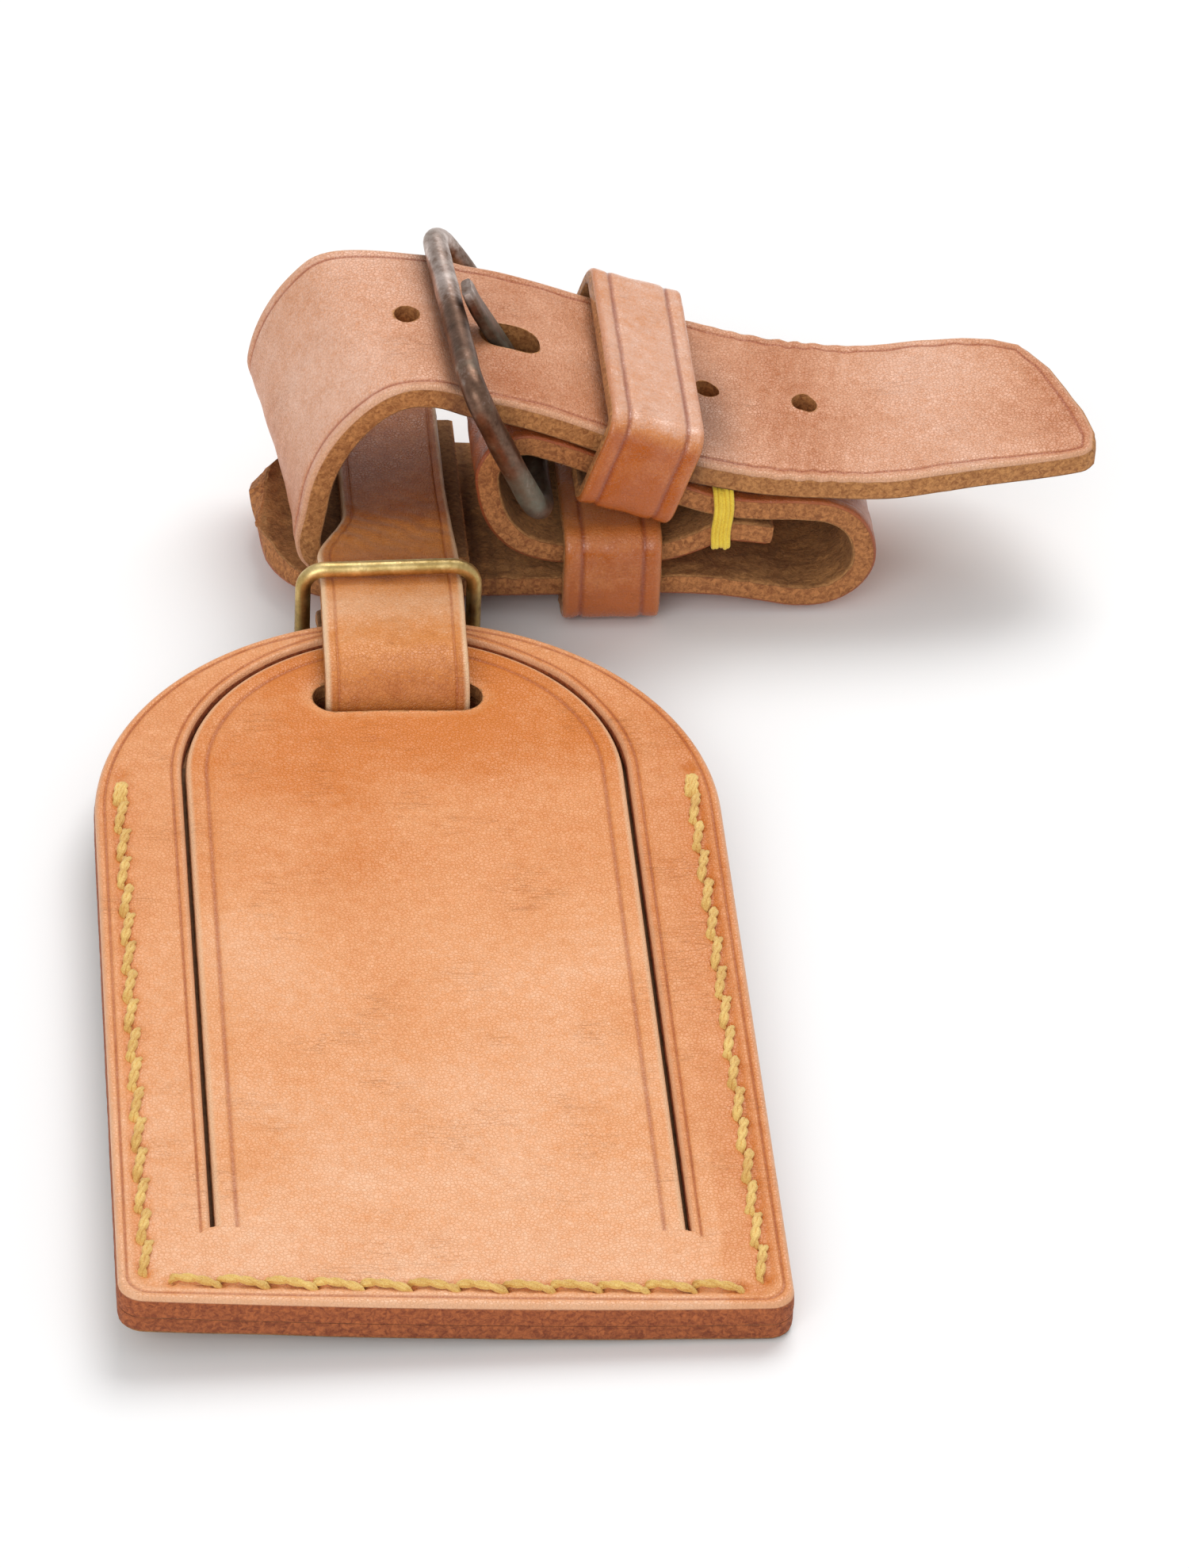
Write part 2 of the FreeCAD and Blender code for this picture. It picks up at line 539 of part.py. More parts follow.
# ------------------------------------------------------------------ handle strap, buckle piece
turn_x = 56.4
leaf_path = [
    (45.5, TIE_LOW - 0.75), (42.5, TIE_LOW - 0.3), (39.5, TIE_LOW - 0.15), (36.6, TIE_LOW - 1.5),
    (33.4, FOLD_LOW + 0.2), (29, FOLD_LOW), (24.5, FOLD_LOW), (20, FOLD_LOW + 0.2),
    (16, FOLD_LOW + 1.7), (13.4, FOLD_LOW + 4.7), (12.1, FOLD_LOW + 8.6),
    (11.9, FOLD_HIGH - 2.9), (13.3, FOLD_HIGH - 0.3), (16.2, FOLD_HIGH + 0.75),
    (PX + 1, FOLD_HIGH - 0.2 * SLOPE), (PX + 8, FOLD_HIGH - 7.3 * SLOPE), (PX + 14.5, FOLD_HIGH - 14 * SLOPE),
    (39.5, TIE_HIGH), (44, TIE_HIGH - 0.6), (49, TIE_HIGH - 0.8), (52.6, TIE_HIGH - 1.4),
    (55.1, TIE_HIGH - 3.1), (turn_x, TIE_HIGH - 5.8), (turn_x + 0.1, TIE_HIGH - 8.6), (55.2, TIE_HIGH - 11.0),
    (52.6, leaf_t / 2 + 1.15), (49, leaf_t / 2 + 0.75), (45, leaf_t / 2 + 1.5), (40, RUN - 0.5),
    (34, RUN - 0.05), (27, RUN), (20, RUN), (10, RUN), (0, RUN), (-8, RUN), (-11.5, RUN + 0.4),
    (-14, RUN + 1.4),
]
face = band_face([V(x, NEAR, z) for x, z in leaf_path], leaf_t, V(0, 1, 0), 120)
leaf_run = extrude("leaf_run", face, V(0, 1, 0), "Sizes.strap_width")
leaf_cuts = [block("prong_gate", (PX - 4.6, MID - 2.4, FOLD_HIGH - 3.4),
                   (PX + 2.4, MID + 2.4, FOLD_HIGH + 3.4))]
TIE_X, tie_w = 39.5, 2.3
for side, y in (("near", NEAR + 3.0), ("far", FAR - 4.2)):
    leaf_cuts.append(block("tie_hole_" + side, (TIE_X - tie_w / 2 - 0.15, y, TIE_LOW - 2.9),
                           (TIE_X + tie_w / 2 + 0.15, y + 1.2, TIE_HIGH + 2.9)))
nodes["base_leaf"] = subtract("base_leaf", leaf_run, leaf_cuts)

# thread ties: a flat whipping round the fold's two layers and through their holes
thread = 0.6
for side, outer, inner in (("near", NEAR - 0.2 - thread, NEAR + 3.0 + 1.0),
                           ("far", FAR + 0.2 + thread, FAR - 4.2 + 0.2)):
    low, high = TIE_LOW - leaf_t / 2 - 0.85 - thread, TIE_HIGH + leaf_t / 2 + 0.55 + thread
    y0, y1 = min(outer, inner), max(outer, inner)
    hull = block("tie_hull_" + side, (TIE_X - tie_w / 2, y0, low), (TIE_X + tie_w / 2, y1, high))
    room = block("tie_room_" + side, (TIE_X - tie_w, y0 + thread, low + thread),
                 (TIE_X + tie_w, y1 - thread, high - thread))
    nodes["thread_tie_" + side] = subtract("thread_tie_" + side, hull, [room])


# ------------------------------------------------------------------ keepers
def keeper(name, centre, inner_height, lean):
    """A leather band round the strap layers, with its seam at the far edge."""
    half_w = WIDTH / 2 + size("keeper_gap")
    across, up = V(0, 1, 0), V(0, 0, 1)
    start = V(-size("keeper_band") / 2, 0, 0)
    outer = rounded_wire(start, across, up, half_w + keeper_t, inner_height / 2 + keeper_t, 3.0)
    inner = rounded_wire(start, across, up, half_w, inner_height / 2, 0.8)
    band = extrude(name, Part.Face(outer).cut(Part.Face(inner)).Faces[0], V(1, 0, 0), "Sizes.keeper_band")
    where = FreeCAD.Placement(centre, FreeCAD.Rotation(V(0, 1, 0), lean))
    band.Placement = where
    seam = doc.addObject("Part::Box", name + "_seam")
    seam.setExpression("Length", "Sizes.thread_width")
    seam.setExpression("Width", "Sizes.thread_proud")
    seam.Height = inner_height - 1.6
    local = V(-size("thread_width") / 2, half_w + keeper_t, -(inner_height - 1.6) / 2)
    seam.Placement = where.multiply(FreeCAD.Placement(local, FreeCAD.Rotation()))
    nodes[name], nodes[name + "_seam"] = band, seam


low_in, low_out = RUN - leaf_t / 2 - 0.6, FOLD_LOW + leaf_t / 2 + 0.6
keeper("lower_keeper", V(26.7, MID, (low_in + low_out) / 2), low_out - low_in, 0.0)
stack_x = 29.4
stack_drop = (stack_x - PX - 1) * SLOPE
stack_high = TIP_HIGH - stack_drop + strap_t / 2 * 1.085
stack_low = FOLD_HIGH - stack_drop - leaf_t / 2 * 1.085
keeper("upper_keeper", V(stack_x, MID, (stack_high + stack_low) / 2 + 0.6), stack_high - stack_low + 2.7, 18.0)

# ------------------------------------------------------------------ buckle
along = V(-math.cos(LEAN), 0, math.sin(LEAN))
outward = V(math.sin(LEAN), 0, math.cos(LEAN))
pivot = V(PIVOT_X, MID, PIVOT_Z)
reach_len = size("buckle_reach")
half_frame = WIDTH / 2 + size("buckle_clear") + wire / 2
frame_path = rounded_wire(pivot + along * (reach_len / 2), V(0, 1, 0), along, half_frame, reach_len / 2, 4.0)
nodes["buckle_frame"] = wire_ring("buckle_frame", frame_path, pivot + along * reach_len, V(0, 1, 0),
                                  "Sizes.buckle_wire / 2")

prong_w, prong_t = size("prong_width"), size("prong_thickness")
eye = doc.addObject("Part::Cylinder", "prong_eye")
eye.setExpression("Radius", "Sizes.buckle_wire / 2 + Sizes.bar_running + 1.1")
bore = doc.addObject("Part::Cylinder", "prong_bore")
bore.setExpression("Radius", "Sizes.buckle_wire / 2 + Sizes.bar_running")
for item, extra in ((eye, 0.0), (bore, 2.0)):
    item.Height = prong_w + 2 * extra
    item.Placement = FreeCAD.Placement(pivot - V(0, prong_w / 2 + extra, 0), FreeCAD.Rotation(V(0, 0, 1), V(0, 1, 0)))
arm = doc.addObject("Part::Box", "prong_arm")
arm.Length = reach_len + 1.8
arm.setExpression("Width", "Sizes.prong_width")
arm.setExpression("Height", "Sizes.prong_thickness")
turned = FreeCAD.Rotation(along, V(0, 1, 0), along.cross(V(0, 1, 0)), "XYZ")
offset = wire / 2 + 0.12
low_corner = pivot - V(0, prong_w / 2, 0)
up_dir = along.cross(V(0, 1, 0))
if up_dir.dot(outward) > 0:
    low_corner = low_corner + outward * offset
else:
    low_corner = low_corner + outward * (offset + prong_t)
arm.Placement = FreeCAD.Placement(low_corner, turned)
prong_solid = doc.addObject("Part::MultiFuse", "prong_solid")
prong_solid.Shapes = [eye, arm]
nodes["buckle_prong"] = subtract("buckle_prong", prong_solid, [bore])

# ------------------------------------------------------------------ own frame and export
doc.recompute()
box = FreeCAD.BoundBox()
for item in nodes.values():
    box.add(item.Shape.optimalBoundingBox(False))
shift = V(-(box.XMin + box.XMax) / 2, -(box.YMin + box.YMax) / 2, -box.ZMin)
for name, item in nodes.items():
    item.Label = name
    item.Placement = FreeCAD.Placement(shift, FreeCAD.Rotation()).multiply(item.Placement)
doc.recompute()

bad = [o.Name for o in doc.Objects if "Invalid" in o.State or "Error" in o.State]
assert not bad, "objects with errors: %s" % bad
os.makedirs("parts", exist_ok=True)
for name, item in nodes.items():
    shape = item.Shape
    assert not shape.isNull() and shape.isValid() and shape.Volume > 0.5, name
    shape.exportStep(os.path.join("parts", name + ".step"))
print("shift", [round(v, 3) for v in shift], "tilt", round(TILT, 3), "nodes", len(nodes))
print("pivot", [round(v, 3) for v in pivot + shift], "slot y", SLOT_Y + shift.y, "ring y", RING_Y + shift.y)
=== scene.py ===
"""A leather luggage tag with its handle strap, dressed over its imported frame.

Shapes are worked out in the design's own millimetres: x runs along the handle strap, y from the
tag's bottom edge to the handle strap, z up from the table.  Place turns them into metres in the frame.
"""
import logging
import math
from dataclasses import dataclass
from enum import Enum
from typing import Sequence

import bmesh
import bpy
import numpy as np
from mathutils import Matrix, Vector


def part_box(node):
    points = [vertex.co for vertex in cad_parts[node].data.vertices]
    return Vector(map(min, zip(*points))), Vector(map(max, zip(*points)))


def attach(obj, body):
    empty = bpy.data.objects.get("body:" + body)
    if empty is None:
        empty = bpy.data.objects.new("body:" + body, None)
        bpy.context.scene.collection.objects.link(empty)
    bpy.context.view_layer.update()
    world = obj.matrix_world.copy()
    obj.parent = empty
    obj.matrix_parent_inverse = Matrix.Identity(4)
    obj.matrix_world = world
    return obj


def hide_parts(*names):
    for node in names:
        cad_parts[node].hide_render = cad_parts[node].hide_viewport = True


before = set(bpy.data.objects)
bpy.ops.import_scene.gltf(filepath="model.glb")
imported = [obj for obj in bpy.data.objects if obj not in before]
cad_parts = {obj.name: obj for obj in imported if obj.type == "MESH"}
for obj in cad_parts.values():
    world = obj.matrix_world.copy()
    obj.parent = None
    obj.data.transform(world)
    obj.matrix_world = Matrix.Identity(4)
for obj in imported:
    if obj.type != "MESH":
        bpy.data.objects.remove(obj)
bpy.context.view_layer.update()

MM = 0.001
LOG = logging.getLogger("luggage_tag")
Array = np.ndarray
Colour = tuple[float, float, float]


# ---------------------------------------------------------------- numbers and curves
def smooth(value: Array | float, low: float, high: float) -> Array:
    """Smooth step: 0 below low, 1 above high, 3t^2 - 2t^3 between."""
    t = np.clip((np.asarray(value, float) - low) / (high - low), 0.0, 1.0)
    return t * t * (3.0 - 2.0 * t)


def bell(value: Array, centre: float, width: float) -> Array:
    """Gaussian of height 1 round centre; width is where it falls to 1/e."""
    return np.exp(-(((np.asarray(value) - centre) / width) ** 2))


def ripple(x: Array, y: Array, length: float, seed: int, waves: int = 7) -> Array:
    """Soft random relief between about -1 and 1.

    It is the mean of sine waves in seeded directions, with wavelengths near the given length.

    Args:
        x: first coordinate, in mm.
        y: second coordinate, in mm.
        length: typical wavelength, in mm.
        seed: seed of the directions and phases.
        waves: how many waves are added.

    Returns:
        The relief at each point.
    """
    rng = np.random.default_rng(seed)
    total = np.zeros(np.broadcast(x, y).shape)
    for _ in range(waves):
        angle, phase = rng.uniform(0, 2 * np.pi, 2)
        step = 2 * np.pi / (length * rng.uniform(0.6, 1.6))
        total += np.sin(step * (x * np.cos(angle) + y * np.sin(angle)) + phase)
    return total / math.sqrt(waves)


def smooth_path(points: Sequence[Sequence[float]], step: float, closed: bool = False) -> Array:
    """Cubic curve through points, sampled evenly.

    Each span is a Hermite cubic over its chord length, whose end slopes are the mean of the two
    neighbouring chords; the result is sampled again at even arc length.

    Args:
        points: points of the path, in mm.
        step: distance between samples, in mm.
        closed: whether the last point joins the first; the join isn't repeated in the result.

    Returns:
        An array of samples, one row each.
    """
    knots = np.asarray(points, float)
    if closed:
        knots = np.vstack([knots[-2:], knots, knots[:3]])
    chord = np.maximum(np.linalg.norm(np.diff(knots, axis=0), axis=1), 1e-6)
    at = np.concatenate([[0.0], np.cumsum(chord)])
    slope = np.gradient(knots, at, axis=0)
    first, last = (2, len(knots) - 3) if closed else (0, len(knots) - 1)
    fine = np.linspace(at[first], at[last], 60 * len(knots))
    span = np.clip(np.searchsorted(at, fine, side="right") - 1, 0, len(chord) - 1)
    h = chord[span][:, None]
    t = (fine - at[span])[:, None] / h
    curve = ((2 * t**3 - 3 * t**2 + 1) * knots[span] + (t**3 - 2 * t**2 + t) * h * slope[span]
             + (3 * t**2 - 2 * t**3) * knots[span + 1] + (t**3 - t**2) * h * slope[span + 1])
    run = np.concatenate([[0.0], np.cumsum(np.linalg.norm(np.diff(curve, axis=0), axis=1))])
    count = max(8, int(round(run[-1] / step)))
    even = np.linspace(0.0, run[-1], count + 1)
    if closed:
        even = even[:-1]
    return np.stack([np.interp(even, run, curve[:, k]) for k in range(curve.shape[1])], axis=1)


def rounded_loop(half_u: float, half_v: float, radius: float, step: float) -> Array:
    """Rectangle with round corners, as even samples of (u, v), counterclockwise.

    Args:
        half_u: half width to the line.
        half_v: half height to the line.
        radius: corner radius.
        step: distance between samples.

    Returns:
        An array of (u, v), without a repeat of the first.
    """
    quarter = np.linspace(0, np.pi / 2, 12)
    corners = []
    for k, (su, sv) in enumerate(((1, 1), (-1, 1), (-1, -1), (1, -1))):
        turn = quarter + k * np.pi / 2
        corners.append(np.stack([su * (half_u - radius) + radius * np.cos(turn),
                                 sv * (half_v - radius) + radius * np.sin(turn)], axis=1))
    loop = np.vstack(corners + [corners[0][:1]])
    run = np.concatenate([[0.0], np.cumsum(np.linalg.norm(np.diff(loop, axis=0), axis=1))])
    even = np.linspace(0.0, run[-1], max(24, int(run[-1] / step)) + 1)[:-1]
    return np.stack([np.interp(even, run, loop[:, k]) for k in (0, 1)], axis=1)


def steps_from_edges(width: float, step: float, line: float) -> Array:
    """Places across a strip, close together at both edges and round a creased line near each.

    Args:
        width: width of the strip, in mm.
        step: spacing in the middle, in mm.
        line: distance of the creased line from each edge, in mm.

    Returns:
        Distances from the first edge, from 0 to width.
    """
    near = np.array([0.0, 0.05, 0.14, 0.28, 0.45, 0.7, line - 0.3, line - 0.15, line, line + 0.15,
                     line + 0.32, line + 0.6])
    near = np.unique(near[near < width / 2 - 0.1])
    middle = np.linspace(near[-1], width - near[-1], max(3, int((width - 2 * near[-1]) / step)) + 1)
    return np.concatenate([near, middle[1:-1], width - near[::-1]])


def srgb(red: int, green: int, blue: int) -> Colour:
    """A colour given in display values from 0 to 255, as linear light."""
    values = np.array([red, green, blue]) / 255.0
    return tuple(np.where(values <= 0.04045, values / 12.92, ((values + 0.055) / 1.055) ** 2.4))


# ---------------------------------------------------------------- place in the frame
@dataclass(frozen=True)
class Place:
    """Where the design's millimetre axes stand in the frame."""

    origin: Array
    tilt: float
    length: float

    @classmethod
    def from_frame(cls, length: float, back: float) -> "Place":
        """Reads the axes from the back panel's box.

        Args:
            length: length of the tag, in mm.
            back: thickness of the back layer, in mm.

        Returns:
            The place of the design's origin, and the lean of the tag.
        """
        low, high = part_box("back_panel")
        tilt = math.asin(((high.z - low.z) / MM - back) / length)
        origin = np.array([(low.x + high.x) / 2, low.y + back * MM * math.sin(tilt), low.z])
        return cls(origin, tilt, length)

    def metres(self, points: Array) -> Array:
        """Design millimetres as metres in the frame."""
        return np.asarray(points, float) * MM + self.origin

    def millimetres(self, point: Array) -> Array:
        """Metres in the frame as design millimetres."""
        return (np.asarray(point, float) - self.origin) / MM

    def curl(self, x: Array, y: Array) -> Array:
        """How far the tag's lower left corner has curled up, in mm: a power law towards the corner."""
        across = np.clip((35.0 - np.asarray(x)) / 70.0, 0, 1)
        down = np.clip(1.0 - np.asarray(y) / self.length, 0, 1)
        return 3.6 * across**1.7 * down**1.5

    def on_tag(self, points: Array) -> Array:
        """Points over the tag's back face (across, along, above) as design millimetres.

        The face leans by the tilt about its bottom edge, and the curl is added to the height.
        """
        x, y, z = np.moveaxis(np.asarray(points, float), -1, 0)
        z = z + self.curl(x, y)
        c, s = math.cos(self.tilt), math.sin(self.tilt)
        return np.stack([x, y * c - z * s, y * s + z * c], axis=-1)


# ---------------------------------------------------------------- meshes
def new_piece(name: str, points: Array, faces: list, place: Place, marks: dict[str, Array],
              sharp: float = 50.0) -> bpy.types.Object:
    """Makes a mesh object at the origin from design millimetres.

    Args:
        name: name of the piece.
        points: vertices, in design mm.
        faces: vertex numbers of each face.
        place: the design's place in the frame.
        marks: numbers for each vertex, which the finishes read by name.
        sharp: angle past which an edge stays sharp, in degrees.

    Returns:
        The new object, linked to the scene.
    """
    mesh = bpy.data.meshes.new(name)
    mesh.from_pydata(place.metres(points).tolist(), [], faces)
    for key, values in marks.items():
        layer = mesh.attributes.new(key, "FLOAT", "POINT")
        layer.data.foreach_set("value", np.asarray(values, np.float32).ravel())
    work = bmesh.new()
    work.from_mesh(mesh)
    bmesh.ops.remove_doubles(work, verts=work.verts, dist=2e-7)
    bmesh.ops.recalc_face_normals(work, faces=work.faces)
    work.to_mesh(mesh)
    work.free()
    mesh.shade_smooth()
    mesh.set_sharp_from_angle(angle=math.radians(sharp))
    piece = bpy.data.objects.new(name, mesh)
    bpy.context.scene.collection.objects.link(piece)
    return piece


def grid_faces(numbers: Array, wrap_rows: bool, wrap_columns: bool = False) -> Array:
    """Quads over a grid of vertex numbers; a wrapped direction joins its last line to its first."""
    if wrap_rows:
        numbers = np.vstack([numbers, numbers[:1]])
    if wrap_columns:
        numbers = np.hstack([numbers, numbers[:, :1]])
    return np.stack([numbers[:-1, :-1], numbers[1:, :-1], numbers[1:, 1:], numbers[:-1, 1:]],
                    axis=-1).reshape(-1, 4)


@dataclass
class Sheet:
    """A piece of leather as a thick sheet.

    middle is the sheet's middle surface on a grid, rows along it and columns across it; its grain
    face is on the side of the row direction crossed with the column direction.  Both faces are the
    middle moved along the normal, their rims rounded over by a quarter circle, and a wall with a
    slight bulge and ragged fibres joins them.
    """

    middle: Array
    thickness: float
    edge: Array
    closed: bool = False
    rim: float = 0.3
    rim_low: float = 0.3
    lift: Array | float = 0.0
    under: Array | float = 0.0
    tone: Array | float = 0.0
    gloss: Array | float = 0.0
    # Darkening towards the stain colour: real stains, and painted shade on some pieces.
    stain_and_shade: Array | float = 0.0
    ragged: float = 0.04
    seed: int = 1
    spine: bool = False
    normal: Array | None = None
    rim_edge: Array | None = None

    def normals(self) -> Array:
        """Unit normals of the middle surface, from the cross product of its differences."""
        if self.normal is not None:
            return np.broadcast_to(self.normal, self.middle.shape)
        if self.closed:
            along = np.roll(self.middle, -1, 0) - np.roll(self.middle, 1, 0)
        else:
            along = np.gradient(self.middle, axis=0)
        cross = np.cross(along, np.gradient(self.middle, axis=1))
        return cross / np.maximum(np.linalg.norm(cross, axis=2, keepdims=True), 1e-9)

    def borders(self, top: Array) -> list[Array]:
        """Closed chains of border vertices, walked with the sheet on the left."""
        if self.closed:
            return [top[:, 0]] if self.spine else [top[:, 0], top[::-1, -1]]
        return [np.concatenate([top[:, 0], top[-1, 1:], top[-2::-1, -1], top[0, -2:0:-1]])]

    def build(self, name: str, place: Place) -> bpy.types.Object:
        """Builds the sheet.

        Args:
            name: name of the piece.
            place: the design's place in the frame.

        Returns:
            The new object.
        """
        rows, columns = self.middle.shape[:2]
        shape = (rows, columns)
        up = self.normals()
        rim_at = self.edge if self.rim_edge is None else self.rim_edge
        dips = []
        for rim in (self.rim, self.rim_low):
            inside = np.clip(rim - rim_at, 0.0, rim)
            dips.append(rim - np.sqrt(rim**2 - inside**2))
        half = self.thickness / 2
        faces_up = self.middle + up * (half - dips[0] + self.lift)[..., None]
        faces_down = self.middle - up * (half - dips[1] - self.under)[..., None]
        flat = [faces_up.reshape(-1, 3), faces_down.reshape(-1, 3)]
        top = np.arange(rows * columns).reshape(shape)
        bottom = top + rows * columns
        quads = [grid_faces(top, self.closed), grid_faces(bottom, self.closed)[:, ::-1]]
        chains = self.borders(top)
        grain = np.ones(shape)
        for chain in chains:
            grain.ravel()[chain[rim_at.ravel()[chain] < 1.0]] = 0.0
        spread = {key: np.broadcast_to(getattr(self, key), shape).ravel()
                  for key in ("tone", "gloss", "stain_and_shade")}
        marks = {"side": [grain.ravel(), -grain.ravel()], "edge": [self.edge.ravel()] * 2,
                 **{key: [value, value] for key, value in spread.items()}}
        rng = np.random.default_rng(self.seed)
        count = 2 * rows * columns
        levels = 4
        for chain in chains:
            upper, lower = flat[0][chain], flat[1][chain]
            ahead = np.roll(upper, -1, 0) - np.roll(upper, 1, 0)
            out = np.cross(ahead, up.reshape(-1, 3)[chain])
            out /= np.maximum(np.linalg.norm(out, axis=1, keepdims=True), 1e-9)
            numbers = [chain]
            for level in range(1, levels):
                share = level / levels
                bulge = 0.06 * math.sin(math.pi * share)
                rough = np.convolve(rng.normal(0, self.ragged, len(chain) + 2), [0.25, 0.5, 0.25], "valid")
                flat.append(upper * (1 - share) + lower * share + out * (bulge + rough)[:, None])
                numbers.append(np.arange(count, count + len(chain)))
                count += len(chain)
                marks["side"].append(np.zeros(len(chain)))
                marks["edge"].append(np.zeros(len(chain)))
                for key, value in spread.items():
                    marks[key].append(value[chain])
            numbers.append(chain + rows * columns)
            ladder = np.stack(numbers)
            quads.append(grid_faces(ladder.T, True)[:, ::-1])
        made = new_piece(name, np.vstack(flat), np.vstack(quads).tolist(), place,
                         {key: np.concatenate(value) for key, value in marks.items()})
        return made


def sweep(points: Array, across: Array, upward: Array, section: Array, closed: bool) -> tuple[Array, Array]:
    """Carries a closed section along a path.

    Each vertex is path point + section's first number times across + second number times upward.

    Args:
        points: path points (n, 3).
        across: unit vectors for the section's first axis (n, 3).
        upward: unit vectors for its second axis (n, 3).
        section: (m, 2), or (n, m, 2) where it changes along the path.
        closed: whether the path closes.

    Returns:
        Vertices (n, m, 3) and quads as vertex numbers.
    """
    section = np.broadcast_to(section, (len(points),) + section.shape[-2:])
    made = (points[:, None] + section[..., :1] * across[:, None] + section[..., 1:] * upward[:, None])
    numbers = np.arange(made.shape[0] * made.shape[1]).reshape(made.shape[:2])
    return made, grid_faces(numbers, closed, True)


def circle(radius: float, count: int) -> Array:
    """Points of a circle, counterclockwise."""
    turn = np.linspace(0, 2 * np.pi, count, endpoint=False)
    return radius * np.stack([np.cos(turn), np.sin(turn)], axis=1)


def tube(points: Array, radius: Array | float, count: int, closed: bool) -> tuple[Array, list]:
    """Round wire along a path, closed with flat ends where the path is open.

    The section stands square to the path; its first axis is the path crossed with a fixed
    direction that the path never follows, so the section doesn't turn.

    Args:
        points: path points (n, 3).
        radius: radius, one number or one for each point.
        count: corners of the section.
        closed: whether the path closes.

    Returns:
        Vertices (n * count, 3) and faces.
    """
    ahead = (np.roll(points, -1, 0) - np.roll(points, 1, 0)) if closed else np.gradient(points, axis=0)
    ahead /= np.maximum(np.linalg.norm(ahead, axis=1, keepdims=True), 1e-9)
    spread = np.abs(ahead).max(axis=0)
    fixed = np.eye(3)[int(np.argmin(spread))]
    across = np.cross(ahead, fixed)
    across /= np.maximum(np.linalg.norm(across, axis=1, keepdims=True), 1e-9)
    upward = np.cross(across, ahead)
    ring = circle(1.0, count) * np.broadcast_to(radius, len(points))[:, None, None]
    made, quads = sweep(points, across, upward, ring, closed)
    faces = quads.tolist()
    if not closed:
        total = len(points) * count
        faces += [list(range(count))[::-1], list(range(total - count, total))]
    return made.reshape(-1, 3), faces


def joined(parts: Sequence[tuple[Array, list]]) -> tuple[Array, list]:
    """Several lots of vertices and faces as one."""
    points, faces, start = [], [], 0
    for made, quads in parts:
        points.append(made)
        faces += [[start + number for number in quad] for quad in quads]
        start += len(made)
    return np.vstack(points), faces


def punched(piece: bpy.types.Object, cutters: Sequence[bpy.types.Object]) -> None:
    """Cuts the cutters out of a piece, keeps the result as its mesh and removes the cutters.

    Args:
        piece: the piece that is cut.
        cutters: closed meshes.
    """
    for cutter in cutters:
        cut = piece.modifiers.new("punch", "BOOLEAN")
        cut.operation, cut.solver, cut.object = "DIFFERENCE", "EXACT", cutter
    bpy.context.view_layer.update()
    whole = piece.evaluated_get(bpy.context.evaluated_depsgraph_get())
    mesh = bpy.data.meshes.new_from_object(whole)
    piece.modifiers.clear()
    piece.data = mesh
    mesh.set_sharp_from_angle(angle=math.radians(50))
    for cutter in cutters:
        bpy.data.objects.remove(cutter)


def prism(name: str, outline: Array, start: Array, along: Array, place: Place) -> bpy.types.Object:
    """A straight prism used as a punch.

    Args:
        name: name of the punch.
        outline: closed outline (n, 3) in design mm, at the start.
        start: offset of the first face from the outline.
        along: vector from the first face to the last.
        place: the design's place in the frame.

    Returns:
        The punch, whose marks say that it leaves a cut edge.
    """
    count = len(outline)
    points = np.vstack([outline + start, outline + start + along])
    ring = np.arange(count)
    walls = np.stack([ring, np.roll(ring, -1), np.roll(ring, -1) + count, ring + count], axis=1).tolist()
    faces = walls + [ring[::-1].tolist(), (ring + count).tolist()]
    zero = np.zeros(2 * count)
    marks = {key: zero for key in ("side", "edge", "tone", "gloss", "stain_and_shade")}
    return new_piece(name, points, faces, place, marks)


# ---------------------------------------------------------------- shader maths
class Value:
    """A number in a node tree; its operators add Math nodes."""

    def __init__(self, graph: "Graph", socket: bpy.types.NodeSocket) -> None:
        """Wraps a socket of the graph."""
        self.graph, self.socket = graph, socket

    def math(self, operation: str, *others: "Value | float", first: "Value | float | None" = None) -> "Value":
        """Adds one Math node.

        Args:
            operation: the node's operation.
            others: what goes into the later sockets.
            first: what goes into the first socket, if it isn't this value.

        Returns:
            The node's result.
        """
        start = self if first is None else first
        items = dict(enumerate((start,) + others))
        node = self.graph.node("ShaderNodeMath", {"operation": operation}, items)
        return Value(self.graph, node.outputs[0])

    def __add__(self, other: "Value | float") -> "Value":
        """Sum."""
        return self.math("ADD", other)

    __radd__ = __add__

    def __sub__(self, other: "Value | float") -> "Value":
        """Difference."""
        return self.math("SUBTRACT", other)

    def __rsub__(self, other: float) -> "Value":
        """Difference from a number."""
        return self.math("SUBTRACT", self, first=other)

    def __mul__(self, other: "Value | float") -> "Value":
        """Product."""
        return self.math("MULTIPLY", other)

    __rmul__ = __mul__

    def clamp(self) -> "Value":
        """Held between 0 and 1."""
        return Value(self.graph, self.graph.node("ShaderNodeClamp", {}, {0: self}).outputs[0])

    def step(self, low: float, high: float) -> "Value":
        """Smooth step from 0 at low to 1 at high."""
        node = self.graph.node("ShaderNodeMapRange", {"interpolation_type": "SMOOTHSTEP"},
                               {0: self, 1: low, 2: high, 3: 0.0, 4: 1.0})
        return Value(self.graph, node.outputs[0])

    def near(self, centre: float, width: float) -> "Value":
        """1 at centre, falling smoothly to 0 at width either side."""
        return 1.0 - (self - centre).math("ABSOLUTE").step(0.0, width)


